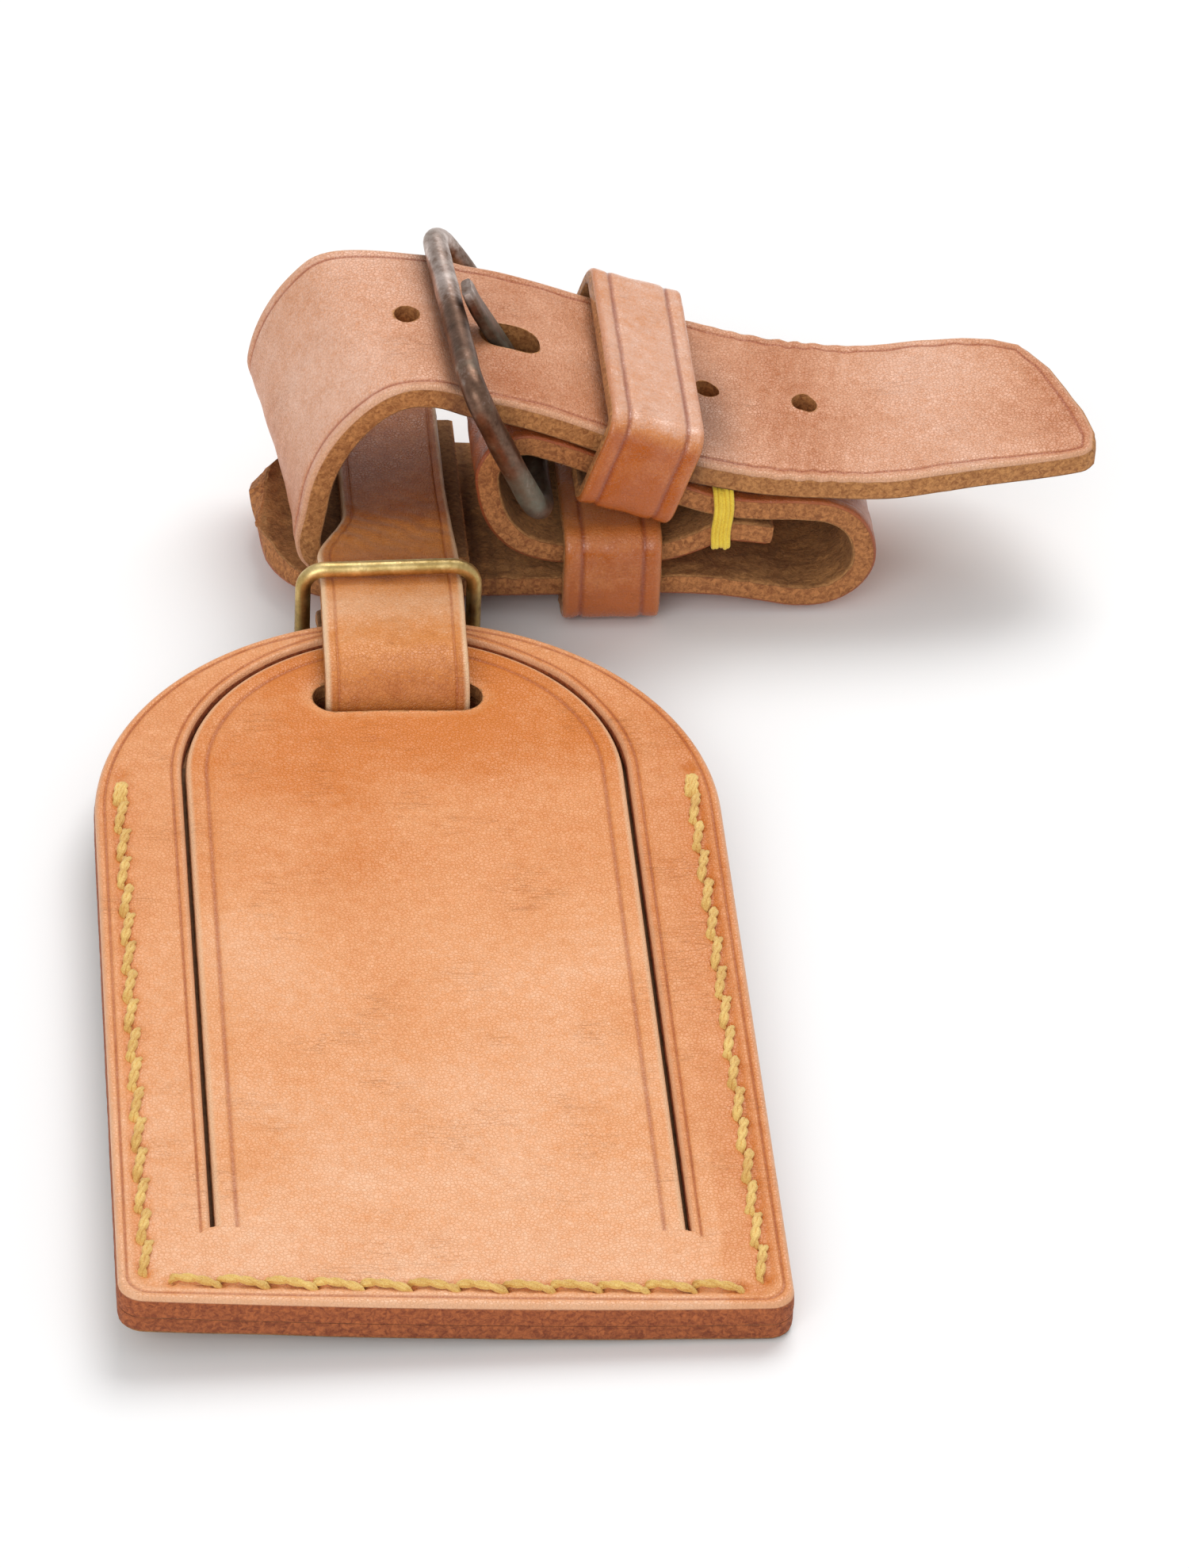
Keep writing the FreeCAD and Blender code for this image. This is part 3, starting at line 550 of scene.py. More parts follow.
class Graph:
    """The node tree of one finish."""

    def __init__(self, name: str) -> None:
        """Makes an empty material with its shader and output."""
        self.material = bpy.data.materials.new(name)
        self.material.use_nodes = True
        self.tree = self.material.node_tree
        self.tree.nodes.clear()
        self.shader = self.tree.nodes.new("ShaderNodeBsdfPrincipled")
        output = self.tree.nodes.new("ShaderNodeOutputMaterial")
        self.tree.links.new(self.shader.outputs[0], output.inputs[0])

    def node(self, kind: str, settings: dict, items: dict) -> bpy.types.Node:
        """Adds a node.

        Args:
            kind: the node's type.
            settings: properties of the node, set first.
            items: what each input socket gets: a number, a colour, a Value or a socket.

        Returns:
            The node.
        """
        node = self.tree.nodes.new(kind)
        for key, setting in settings.items():
            setattr(node, key, setting)
        for key, item in items.items():
            self.feed(node.inputs[key], item)
        return node

    def feed(self, socket: bpy.types.NodeSocket,
             item: "Value | bpy.types.NodeSocket | float | Colour") -> None:
        """Gives a socket a link or a plain value."""
        if isinstance(item, Value):
            self.tree.links.new(item.socket, socket)
        elif isinstance(item, bpy.types.NodeSocket):
            self.tree.links.new(item, socket)
        elif isinstance(item, tuple) and len(socket.default_value) == 4:
            socket.default_value = (*item, 1.0)
        else:
            socket.default_value = item

    def millimetres(self) -> bpy.types.NodeSocket:
        """Object coordinates in millimetres."""
        where = self.node("ShaderNodeTexCoord", {}, {})
        scaled = self.node("ShaderNodeVectorMath", {"operation": "SCALE"},
                           {0: where.outputs["Object"], 3: 1 / MM})
        return scaled.outputs[0]

    def stretched(self, where: bpy.types.NodeSocket, factors: Colour) -> bpy.types.NodeSocket:
        """Coordinates multiplied axis by axis."""
        node = self.node("ShaderNodeVectorMath", {"operation": "MULTIPLY"}, {0: where, 1: factors})
        return node.outputs[0]

    def noise(self, where: bpy.types.NodeSocket, size: float, detail: float = 3.0,
              rough: float = 0.5, bend: float = 0.0) -> Value:
        """Soft noise from 0 to 1 whose features are about size mm across."""
        node = self.node("ShaderNodeTexNoise", {}, {"Vector": where, "Scale": 1.0 / size, "Detail": detail,
                                                    "Roughness": rough, "Distortion": bend})
        return Value(self, node.outputs[0])

    def cells(self, where: bpy.types.NodeSocket, size: float) -> Value:
        """Distance from the lines between cells about size mm across, in cell sizes."""
        node = self.node("ShaderNodeTexVoronoi", {"feature": "DISTANCE_TO_EDGE"},
                         {"Vector": where, "Scale": 1.0 / size})
        return Value(self, node.outputs[0])

    def mark(self, name: str) -> Value:
        """A number stored on the mesh."""
        return Value(self, self.node("ShaderNodeAttribute", {"attribute_name": name}, {}).outputs["Fac"])

    def mix(self, share: "Value | float", one: "bpy.types.NodeSocket | Colour",
            two: "bpy.types.NodeSocket | Colour") -> bpy.types.NodeSocket:
        """Colour one where share is 0 and two where it is 1."""
        node = self.node("ShaderNodeMix", {"data_type": "RGBA"}, {0: share, 6: one, 7: two})
        return node.outputs[2]

    def finish(self, colour: "bpy.types.NodeSocket | Colour", rough: "Value | float",
               relief: "Value | None" = None, **constants: float) -> bpy.types.Material:
        """Feeds the shader.

        Args:
            colour: base colour.
            rough: roughness.
            relief: height of the surface, in mm.
            constants: plain numbers for other sockets of the shader, with _ for a space.

        Returns:
            The material.
        """
        self.feed(self.shader.inputs["Base Color"], colour)
        self.feed(self.shader.inputs["Roughness"], rough)
        for key, number in constants.items():
            self.shader.inputs[key.replace("_", " ")].default_value = number
        if relief is not None:
            bump = self.node("ShaderNodeBump", {}, {"Strength": 1.0, "Distance": MM, "Height": relief})
            self.tree.links.new(bump.outputs[0], self.shader.inputs["Normal"])
        return self.material


# ---------------------------------------------------------------- finishes
@dataclass(frozen=True)
class Leather:
    """Vegetable-tanned leather: grain side, cut edge and flesh side, told apart by the side mark."""

    name: str
    pale: Colour
    base: Colour
    deep: Colour
    crease: Colour = srgb(172, 88, 48)
    rim: Colour = srgb(226, 176, 138)
    cut_light: Colour = srgb(210, 148, 88)
    cut_dark: Colour = srgb(146, 88, 42)
    flesh_light: Colour = srgb(196, 142, 90)
    flesh_dark: Colour = srgb(110, 68, 34)
    # Dark colour for the stain mark, which carries stains and painted shade.
    stain_and_shade: Colour = srgb(70, 44, 34)
    grain: float = 0.42
    grain_depth: float = 0.034
    roughness: float = 0.42
    creases: tuple[float, ...] = (1.4,)
    crease_width: float = 0.26
    crease_strength: float = 0.75
    rim_strength: float = 0.55
    cloud: float = 0.5
    fleck: float = 0.5
    coat: float = 0.0

    def material(self) -> bpy.types.Material:
        """Builds the finish from layers of noise and the marks on the mesh."""
        g = Graph(self.name)
        at = g.millimetres()
        side, edge, tone = g.mark("side"), g.mark("edge"), g.mark("tone")
        cloud, mottle = g.noise(at, 16.0, 3.0), g.noise(at, 1.5, 4.0, 0.6)
        pores, cells = g.noise(at, 0.33, 2.0, 0.6), g.cells(at, self.grain)
        depth = ((cloud - 0.5) * self.cloud + (mottle - 0.5) * 0.55 + (pores - 0.5) * self.fleck
                 + tone * 0.5 + 0.5).clamp()
        skin = g.mix((depth * 2.0).clamp(), self.pale, self.base)
        skin = g.mix((depth * 2.0 - 1.0).clamp(), skin, self.deep)
        line = None
        for offset in self.creases:
            stroke = edge.near(offset, self.crease_width)
            line = stroke if line is None else line + stroke
        wear = g.noise(at, 5.0, 3.0)
        skin = g.mix(line * (0.45 + wear * 0.6) * self.crease_strength, skin, self.crease)
        scratch = g.noise(g.stretched(at, (0.22, 1.7, 1.0)), 1.6, 2.0, 0.5, 1.2).near(0.5, 0.012)
        scratch = scratch * g.noise(at, 9.0, 2.0).step(0.5, 0.68)
        skin = g.mix(scratch * 0.28, skin, self.crease)
        skin = g.mix((1.0 - edge.step(0.25, 0.85)) * self.rim_strength, skin, self.rim)
        fibres = g.noise(at, 0.55, 6.0, 0.72, 0.6)
        cut = g.mix(fibres.step(0.32, 0.68), self.cut_dark, self.cut_light)
        nap = g.noise(g.stretched(at, (1.0, 1.4, 1.0)), 0.7, 8.0, 0.75, 0.8)
        streak = g.noise(at, 6.0, 3.0)
        flesh = g.mix((nap * 0.75 + streak * 0.35).step(0.35, 0.78), self.flesh_dark, self.flesh_light)
        outer, inner = side.step(0.05, 0.75), (0.0 - side).step(0.05, 0.75)
        colour = g.mix(outer, cut, skin)
        colour = g.mix(inner, colour, flesh)
        colour = g.mix(g.mark("stain_and_shade").clamp(), colour, self.stain_and_shade)
        rough = (self.roughness + (mottle - 0.5) * 0.16 - g.mark("gloss") * 0.26) * outer
        rough = rough + (1.0 - outer) * 0.82 + inner * 0.1
        grain = (cells.step(0.0, 0.16) * self.grain_depth + (pores - 0.5) * 0.034 - line * 0.05
                 - scratch * 0.03)
        relief = grain * outer + (fibres * 0.22) * (1.0 - outer) + (nap * 0.3) * inner
        return g.finish(colour, rough.clamp(), relief, Coat_Weight=self.coat, Coat_Roughness=0.22)


@dataclass(frozen=True)
class Wire:
    """Metal wire, lighter or darker by the tone mark, which carries painted highlights and painted shade, and
    tarnished where the stain mark is high.
    """

    name: str
    bright: Colour
    base: Colour
    dark: Colour
    tarnish: Colour
    roughness: float = 0.32
    metallic: float = 1.0

    def material(self) -> bpy.types.Material:
        """Builds the finish."""
        g = Graph(self.name)
        at = g.millimetres()
        cloud, speck = g.noise(at, 3.0, 4.0, 0.6), g.noise(at, 0.5, 4.0, 0.65)
        depth = ((cloud - 0.5) * 1.3 + (speck - 0.5) * 0.5 + g.mark("tone") * 0.5 + 0.5).clamp()
        metal = g.mix((depth * 2.0).clamp(), self.bright, self.base)
        metal = g.mix((depth * 2.0 - 1.0).clamp(), metal, self.dark)
        crust = (g.mark("stain_and_shade") + (g.noise(at, 2.2, 5.0, 0.7) - 0.62) * 1.4).clamp()
        colour = g.mix(crust, metal, self.tarnish)
        rough = self.roughness + speck * 0.2 + crust * 0.35
        self_metal = 1.0 - crust * 0.85
        g.feed(g.shader.inputs["Metallic"], self_metal * self.metallic)
        return g.finish(colour, rough.clamp(), speck * 0.03 + crust * 0.05)


@dataclass(frozen=True)
class Thread:
    """Waxed linen thread."""

    name: str
    light: Colour
    dark: Colour

    def material(self) -> bpy.types.Material:
        """Builds the finish: fine fibres, darker where it is worn."""
        g = Graph(self.name)
        at = g.millimetres()
        fibre, worn = g.noise(at, 0.16, 4.0, 0.7, 0.5), g.noise(at, 3.0, 3.0)
        share = (fibre * 0.7 + worn * 0.5 + g.mark("tone") * 0.4).step(0.35, 0.85)
        colour = g.mix(share, self.light, self.dark)
        return g.finish(colour, 0.5 + worn * 0.2, fibre * 0.05, Sheen_Weight=0.2)


@dataclass(frozen=True)
class Paper:
    """Plain card, coloured tan brown as painted shade, so that the slits over it read as dark lines."""

    name: str = "card_as_slit_shade"
    # Tan brown is painted shade: the card shows only through the slits, which read dark.
    light: Colour = srgb(150, 104, 66)
    dark: Colour = srgb(112, 74, 44)

    def material(self) -> bpy.types.Material:
        """Builds the finish: faint fibres."""
        g = Graph(self.name)
        at = g.millimetres()
        fibre = g.noise(at, 0.6, 6.0, 0.7)
        return g.finish(g.mix(fibre.step(0.3, 0.8), self.light, self.dark), 0.75 + fibre * 0.1, fibre * 0.02)


class Finish(Enum):
    """The finishes of the object."""

    TAG = Leather(
        "honey_tag_leather", srgb(244, 190, 150), srgb(232, 157, 100), srgb(208, 116, 38), creases=(1.35,),
        crease_width=0.34, crease_strength=0.9, cut_light=srgb(190, 106, 56), cut_dark=srgb(128, 58, 28))
    PANEL = Leather(
        "tag_back_leather", srgb(238, 184, 142), srgb(226, 150, 94), srgb(198, 110, 42), creases=(1.35,),
        cut_light=srgb(186, 104, 56), cut_dark=srgb(120, 54, 26))
    TONGUE = Leather(
        "tongue_leather", srgb(244, 190, 150), srgb(233, 158, 100), srgb(214, 120, 36), creases=(2.3,),
        crease_width=0.42, crease_strength=0.8, rim=srgb(240, 196, 156), rim_strength=0.8)
    LOOP = Leather(
        "worn_loop_leather", srgb(238, 178, 132), srgb(222, 140, 70), srgb(176, 92, 30), creases=(1.5,),
        rim=srgb(238, 200, 160), rim_strength=0.9, crease_strength=0.6)
    STRAP = Leather(
        "pale_strap_leather", srgb(242, 194, 168), srgb(220, 156, 118), srgb(186, 106, 54), creases=(1.55,),
        fleck=0.9, cloud=0.8, roughness=0.44, crease_width=0.34, crease_strength=0.95,
        crease=srgb(160, 76, 42), grain_depth=0.05)
    LEAF = Leather(
        "buckle_leaf_leather", srgb(214, 134, 78), srgb(186, 98, 46), srgb(120, 58, 34), creases=(1.5,),
        rim=srgb(150, 74, 40), cut_light=srgb(206, 138, 80), cut_dark=srgb(136, 78, 38),
        flesh_light=srgb(222, 160, 98), flesh_dark=srgb(128, 80, 40), roughness=0.4)
    KEEPER = Leather(
        "glossy_keeper_leather", srgb(234, 188, 164), srgb(214, 134, 74), srgb(184, 94, 28), creases=(2.1,),
        crease_width=0.5, crease=srgb(146, 66, 36), crease_strength=0.95, rim=srgb(196, 118, 66),
        roughness=0.32, coat=0.4)
    STITCH = Thread("yellow_thread", srgb(248, 212, 124), srgb(198, 140, 56))
    TIE = Thread("bright_yellow_thread", srgb(252, 224, 70), srgb(206, 160, 24))
    SEAM = Thread("lacing_thread", srgb(226, 188, 112), srgb(164, 118, 58))
    BRASS = Wire("aged_brass", srgb(250, 224, 160), srgb(190, 160, 98), srgb(116, 96, 60), srgb(120, 116, 96))
    BRONZE = Wire("dark_bronze", srgb(216, 200, 192), srgb(128, 100, 84), srgb(72, 50, 38),
                  srgb(112, 122, 108), roughness=0.3)
    CARD = Paper()

    def apply(self, piece: bpy.types.Object) -> None:
        """Gives the finish to a piece."""
        made = bpy.data.materials.get(self.value.name) or self.value.material()
        piece.data.materials.clear()
        piece.data.materials.append(made)


def settle(piece: bpy.types.Object, body: str, slot: str, finish: Finish, *nodes: str) -> bpy.types.Object:
    """Dresses a piece, lets it ride and hides the nodes that it stands for.

    Args:
        piece: the piece.
        body: the body that it moves with.
        slot: the record's material slot; not used.
        finish: its finish.
        nodes: the nodes that it replaces.

    Returns:
        The same piece.
    """
    finish.apply(piece)
    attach(piece, body)
    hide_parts(*nodes)
    LOG.info("%s rides on %s: %d faces", piece.name, body, len(piece.data.polygons))
    return piece


def sewn(name: str, parts: Sequence[tuple[Array, list]], place: Place, body: str, slot: str, finish: Finish,
         node: str, tone: float = 0.0) -> bpy.types.Object:
    """Joins lengths of thread into one piece and settles it.

    Args:
        name: name of the piece.
        parts: vertices and faces of each length.
        place: the design's place in the frame.
        body: the body that it moves with.
        slot: the record's material slot.
        finish: its finish.
        node: the node that it replaces.
        tone: how much darker than plain thread it is.

    Returns:
        The piece.
    """
    points, faces = joined(parts)
    piece = new_piece(name, points, faces, place, {"tone": np.full(len(points), tone)})
    return settle(piece, body, slot, finish, node)


def plan_punch(name: str, centre: tuple[float, float], loop: Array, low: float, rise: float,
               place: Place) -> bpy.types.Object:
    """An upright punch over a plan outline.

    Args:
        name: name of the punch.
        centre: middle of the outline (x, y).
        loop: the outline about its middle (n, 2).
        low: height of its foot.
        rise: its height.
        place: the design's place in the frame.

    Returns:
        The punch.
    """
    outline = np.column_stack([centre[0] + loop[:, 0], centre[1] + loop[:, 1], np.zeros(len(loop))])
    return prism(name, outline, np.array([0, 0, low]), np.array([0, 0, rise]), place)


# ---------------------------------------------------------------- the tag
@dataclass
class Tag:
    """The tag: a back layer, a stitched front border and the tongue cut out of the front layer."""

    place: Place
    width: float = 70.0
    length: float = 115.5
    back: float = 2.2
    thickness: float = 5.0
    pocket: float = 0.7
    corner: float = 2.5
    foot: float = 11.5
    opening: float = 25.1
    tongue: float = 24.6
    tongue_top: float = 112.1
    slot_y: float = 101.4
    slot_half: tuple[float, float] = (9.7, 2.6)
    stitch_inset: float = 3.0
    pitch: float = 4.92
    side_stitches: int = 16
    foot_stitches: int = 12
    stitch_start: float = 6.6
    step: float = 0.65
    slit: float = 0.6
    crease: float = 1.38
    tongue_crease: float = 2.3
    zigzag: float = 0.27
    card_half: float = 26.0
    card_low: float = 7.5
    card_high: float = 91.5
    card_level: float = 2.545
    card_thickness: float = 0.35

    def up(self) -> Array:
        """Unit vector square to the leaning back face."""
        return np.array([0.0, -math.sin(self.place.tilt), math.cos(self.place.tilt)])

    def layer(self, name: str, flat: Array, level: float, thickness: float, edge: Array,
              **looks: Array | float | bool) -> bpy.types.Object:
        """Builds a leather layer of closed rows that lies along the tag.

        Args:
            name: name of the piece.
            flat: points over the back face (n, m, 2).
            level: height of the layer's middle above the back face.
            thickness: its thickness.
            edge: distance of each point from the nearest edge.
            **looks: other fields of the sheet.

        Returns:
            The new object.
        """
        middle = self.place.on_tag(np.dstack([flat, np.full(flat.shape[:2], level)]))
        return Sheet(middle, thickness, edge, True, normal=self.up(), **looks).build(name, self.place)

    def arch(self, half: float, foot: float, top: float, corner: float) -> Array:
        """An arch outline, counterclockwise from the middle of its foot.

        The right half is the foot, a round corner, a straight side and a quarter circle; the left
        half mirrors it.

        Args:
            half: half width.
            foot: height of the foot.
            top: height of the apex.
            corner: radius of the corners at the foot.

        Returns:
            Samples (n, 2), the first not repeated.
        """
        counts = int(35 / self.step), int(78 / self.step), int(55 / self.step)
        turn = np.linspace(-np.pi / 2, 0, 9)
        flat = np.stack([np.linspace(0, half - corner, 40), np.full(40, foot)], axis=1)
        bend = np.stack([half - corner + corner * np.cos(turn), foot + corner + corner * np.sin(turn)],
                        axis=1)
        base = np.vstack([flat, bend[1:]])
        run = np.concatenate([[0], np.cumsum(np.linalg.norm(np.diff(base, axis=0), axis=1))])
        even = np.linspace(0, run[-1], counts[0])
        base = np.stack([np.interp(even, run, base[:, k]) for k in (0, 1)], axis=1)
        y = np.linspace(foot + corner, top - half, counts[1] + 1)[1:]
        side = np.stack([np.full(len(y), half), y], axis=1)
        sweep_angle = np.linspace(0, np.pi / 2, counts[2] + 1)[1:]
        dome = np.stack([half * np.cos(sweep_angle), top - half + half * np.sin(sweep_angle)], axis=1)
        right = np.vstack([base, side, dome])
        left = right[-2:0:-1] * np.array([-1.0, 1.0])
        return np.vstack([right, left])

    def rings(self, outer: Array, inner: Array, near: Array, far: Array, step: float) -> tuple[Array, Array]:
        """Rows of points from one outline to another.

        Points lie on straight lines between paired samples; the ones near each outline keep set
        distances from it, drawn together where the two outlines are close.

        Args:
            outer: first outline (n, 2).
            inner: second outline (n, 2).
            near: distances from the first.
            far: distances from the second, growing.
            step: spacing between.

        Returns:
            Points (n, m, 2) and distance from the first outline (n, m).
        """
        gap = np.linalg.norm(inner - outer, axis=1)
        room = near[-1] + (far[-1] if len(far) else 0)
        press = np.minimum(1.0, gap / (room * 1.12))[:, None]
        first = near[None] * press
        last = gap[:, None] - far[None, ::-1] * press if len(far) else gap[:, None]
        count = max(3, int((np.median(gap) - room) / step))
        share = np.linspace(0, 1, count + 1)[1:-1][None]
        between = first[:, -1:] * (1 - share) + last[:, :1] * share
        at = np.hstack([first, between, last])
        ahead = (inner - outer) / gap[:, None]
        return outer[:, None] + at[..., None] * ahead[:, None], at

    def holes(self) -> Array:
        """Where the thread goes through: both sides and the foot, (n, 2)."""
        x = self.width / 2 - self.stitch_inset
        y = self.stitch_start + self.pitch * (np.arange(self.side_stitches + 1) - 0.5)
        foot = self.pitch * (np.arange(self.foot_stitches + 1) - self.foot_stitches / 2)
        lots = [np.stack([np.full(len(y), side * x), y], axis=1) for side in (-1, 1)]
        return np.vstack(lots + [np.stack([foot, np.full(len(foot), self.stitch_inset)], axis=1)])

    def sunk(self, x: Array, y: Array, at: Array) -> Array:
        """Depth of the stitched channel and of the dents at its holes, in mm."""
        stop = self.stitch_start + self.pitch * self.side_stitches + 1.2
        depth = 0.22 * bell(at, self.stitch_inset, 0.7) * (1 - smooth(y, stop, stop + 1.0))
        for hole in self.holes():
            depth = depth + 0.75 * np.exp(-((x - hole[0]) ** 2 + (y - hole[1]) ** 2) / 0.62**2)
        for side in (-1, 1):
            x_tack = side * (self.width / 2 - self.stitch_inset)
            depth = depth + 0.45 * np.exp(-((x - x_tack) / 0.8) ** 2 - ((y - stop - 1.5) / 0.9) ** 2)
        return depth

    def slot_punch(self, name: str) -> bpy.types.Object:
        """The punch of the slot, its outline round at both ends."""
        loop = rounded_loop(*self.slot_half, self.slot_half[1] - 0.02, 0.5)
        outline = np.column_stack([loop[:, 0], loop[:, 1] + self.slot_y, np.zeros(len(loop))])
        return prism(name, self.place.on_tag(outline), -3 * self.up(), 12 * self.up(), self.place)

    def back_panel(self) -> bpy.types.Object:
        """The back layer: rings from its outline to a line in its middle."""
        outline = self.arch(self.width / 2, 0.0, self.length, self.corner)
        half = self.width / 2
        spine = np.stack([np.zeros(len(outline)), np.clip(outline[:, 1], half, self.length - half)], axis=1)
        near = np.array([0, 0.06, 0.16, 0.32, 0.5, 0.8, 1.1, 1.35, 1.6, 2.0, 2.6])
        flat, at = self.rings(outline, spine, near, np.array([]), 0.9)
        x, y = flat[..., 0], flat[..., 1]
        waves = 0.05 * ripple(x, y, 14.0, 11)
        piece = self.layer("tag_back", flat, self.back / 2, self.back, at, rim=0.03, rim_low=0.45, lift=-0.01,
                           under=np.maximum(waves, 0.0), spine=True, seed=3, ragged=0.025,
                           tone=0.2 - 0.5 * smooth(y, 60, 0))
        punched(piece, [self.slot_punch("slot_punch_back")])
        return settle(piece, "tag", "tag_leather", Finish.PANEL, "back_panel")

    def border(self) -> bpy.types.Object:
        """The stitched border: rows from the outline to the opening, creased along both."""
        outer = self.arch(self.width / 2, 0.0, self.length, self.corner)
        inner = self.arch(self.opening, self.foot, self.tongue_top + self.slit, 0.1)
        far = np.array([0, 0.06, 0.16, 0.32, 0.5, 0.75, 1.05, 1.22, self.crease, 1.55, 1.8, 2.2])
        near = np.concatenate([far, [2.5, 2.75, self.stitch_inset, 3.25, 3.5, 3.8, 4.3]])
        flat, at = self.rings(outer, inner, near, far, 0.6)
        x, y = flat[..., 0], flat[..., 1]
        gap = np.linalg.norm(inner - outer, axis=1)[:, None]
        along_foot = (inner[:, 1] < self.foot + 0.05)[:, None] * np.ones_like(at)
        inside = gap - at + 40 * along_foot
        edge = np.minimum(at, inside)
        groove = 0.14 * bell(edge, self.crease, 0.22) * smooth(inside, 0.2, 1.0)
        wave = 0.06 * ripple(x, y, 9.0, 21) * smooth(at, 0.5, 3.0) * (1 - bell(y, self.foot, 5.0))
        # Painted shade along the opening's slits, deeper on the right side.
        slit_shade = bell(inside, 0.0, 1.5) * (0.15 + 0.35 * (x > 0))
        sunk = self.sunk(x, y, at)
        # 1.3 * sunk darkens the stitch channel and the dents at its holes: painted shade in the hollows.
        tone = (-0.45 * (1 - smooth(y, 0, 45)) * (x < 28)
                + 0.25 * smooth(y, 40, 80) * (1 - smooth(y, 95, 112))
                + 0.35 * smooth(x, 22, 34) + slit_shade + 1.3 * sunk)
        half = (self.thickness - self.back) / 2
        piece = self.layer("tag_border", flat, self.back + half, 2 * half, edge, rim=0.6, rim_low=0.03,
                           lift=wave - groove - sunk, under=self.pocket * smooth(at, 5.0, 5.9), tone=tone,
                           seed=5, gloss=0.35 * (at < 0.8), ragged=0.035)
        return settle(piece, "tag", "tag_leather", Finish.TAG, "front_border")

    def tongue_piece(self) -> bpy.types.Object:
        """The tongue: rings from its outline to its middle line, joined to the border at its foot."""
        outline = self.arch(self.tongue, self.foot + 0.01, self.tongue_top, 0.1)
        dome = self.tongue_top - self.tongue
        spine = np.stack([np.zeros(len(outline)), np.clip(outline[:, 1], self.foot + self.tongue, dome)],
                         axis=1)
        near = np.array([0, 0.06, 0.16, 0.35, 0.6, 0.85, 1.1, 1.5, 1.9, 2.1, self.tongue_crease, 2.5, 2.8,
                         3.4])
        flat, at = self.rings(outline, spine, near, np.array([]), 0.75)
        x, y = flat[..., 0], flat[..., 1]
        over_dome = np.where(y > dome, self.tongue - np.hypot(x, y - self.tongue_top + self.tongue), 99.0)
        side = np.maximum(np.minimum(self.tongue - np.abs(x), over_dome), 0.0)
        groove = 0.16 * bell(side, self.tongue_crease, 0.3)
        settled = smooth(y - self.foot, 0.0, 12.0)
        wave = 0.1 * ripple(x, y, 18.0, 31) * smooth(side, 1, 6) * settled
        slot = np.hypot(np.maximum(np.abs(x) - 7.1, 0), y - self.slot_y)
        lip = 0.25 * bell(slot, 2.6, 1.0)
        tone = (0.75 * smooth(y, 50, 98) - 0.37 * (1 - smooth(y, 10, 55))
                + 0.15 * ripple(x, y, 26.0, 33) * settled - 0.5 * bell(slot, 3.0, 0.8)
                + 0.35 * bell(slot, 6.0, 3.0))
        half = (self.thickness - self.back - self.pocket) / 2
        piece = self.layer("tag_tongue", flat, self.thickness - half, 2 * half, side, rim=0.75,
                           lift=wave - groove - lip, tone=tone, spine=True, seed=7, ragged=0.04)
        punched(piece, [self.slot_punch("slot_punch_front")])
        return settle(piece, "flap", "tag_leather", Finish.TONGUE, "tongue")

    def card(self) -> bpy.types.Object:
        """The address card in the pocket: a thin plain sheet."""
        half, low, high = self.card_half, self.card_low, self.card_high
        x, y = np.meshgrid(np.linspace(-half, half, 50), np.linspace(low, high, 80), indexing="ij")
        edge = np.minimum(half - np.abs(x), np.minimum(y - low, high - y))
        middle = self.place.on_tag(np.dstack([x, y, np.full(x.shape, self.card_level)]))
        piece = Sheet(middle, self.card_thickness, edge, rim=0.03, seed=8, ragged=0.0).build(
            "card_sheet", self.place)
        return settle(piece, "card", "card", Finish.CARD, "address_card")

    def stitch(self, start: Array, end: Array, seed: int, height: float = 0.55,
               ply: float = 0.33) -> list[tuple[Array, list]]:
        """One stitch: two plies twisted round an arc from hole to hole.

        Args:
            start: first hole (x, y).
            end: last hole (x, y).
            seed: seed of its small differences.
            height: rise of the arc.
            ply: radius of a ply.

        Returns:
            Vertices and faces of both plies.
        """
        rng = np.random.default_rng(seed)
        t = np.linspace(-0.04, 1.04, 15)
        flat = start[None] * (1 - t[:, None]) + end[None] * t[:, None]
        side = np.array([start[1] - end[1], end[0] - start[0]]) / np.linalg.norm(end - start)
        lean = rng.normal(0, 0.05) + 0.2 * (1 - 2 * t)
        flat = flat + side * lean[:, None]
        rise = np.sin(np.pi * np.clip(t, 0, 1)) ** 0.6 * height + np.where((t < 0) | (t > 1), -0.5, 0.0)
        line = self.place.on_tag(np.column_stack([flat, self.thickness - 0.3 + rise]))
        across = np.array([side[0], side[1], 0.0])
        turn = 2 * np.pi * (1.4 * t + rng.uniform(0, 1))
        plies = []
        for phase in (0.0, np.pi):
            swing = (np.cos(turn + phase)[:, None] * across + np.sin(turn + phase)[:, None]
                     * np.array([0.0, 0.0, 0.35])) * ply * 0.75
            plies.append(tube(line + swing, ply, 7, False))
        return plies

    def seam(self, name: str, holes: Array, node: str, seed: int) -> bpy.types.Object:
        """A row of stitches as one piece; each end is moved sideways so that the row zigzags."""
        parts = []
        for k in range(len(holes) - 1):
            ahead = holes[k + 1] - holes[k]
            side = np.array([-ahead[1], ahead[0]]) / np.linalg.norm(ahead) * self.zigzag
            parts += self.stitch(holes[k] + side, holes[k + 1] - side, seed + k)
        return sewn(name, parts, self.place, "tag", "thread", Finish.STITCH, node)

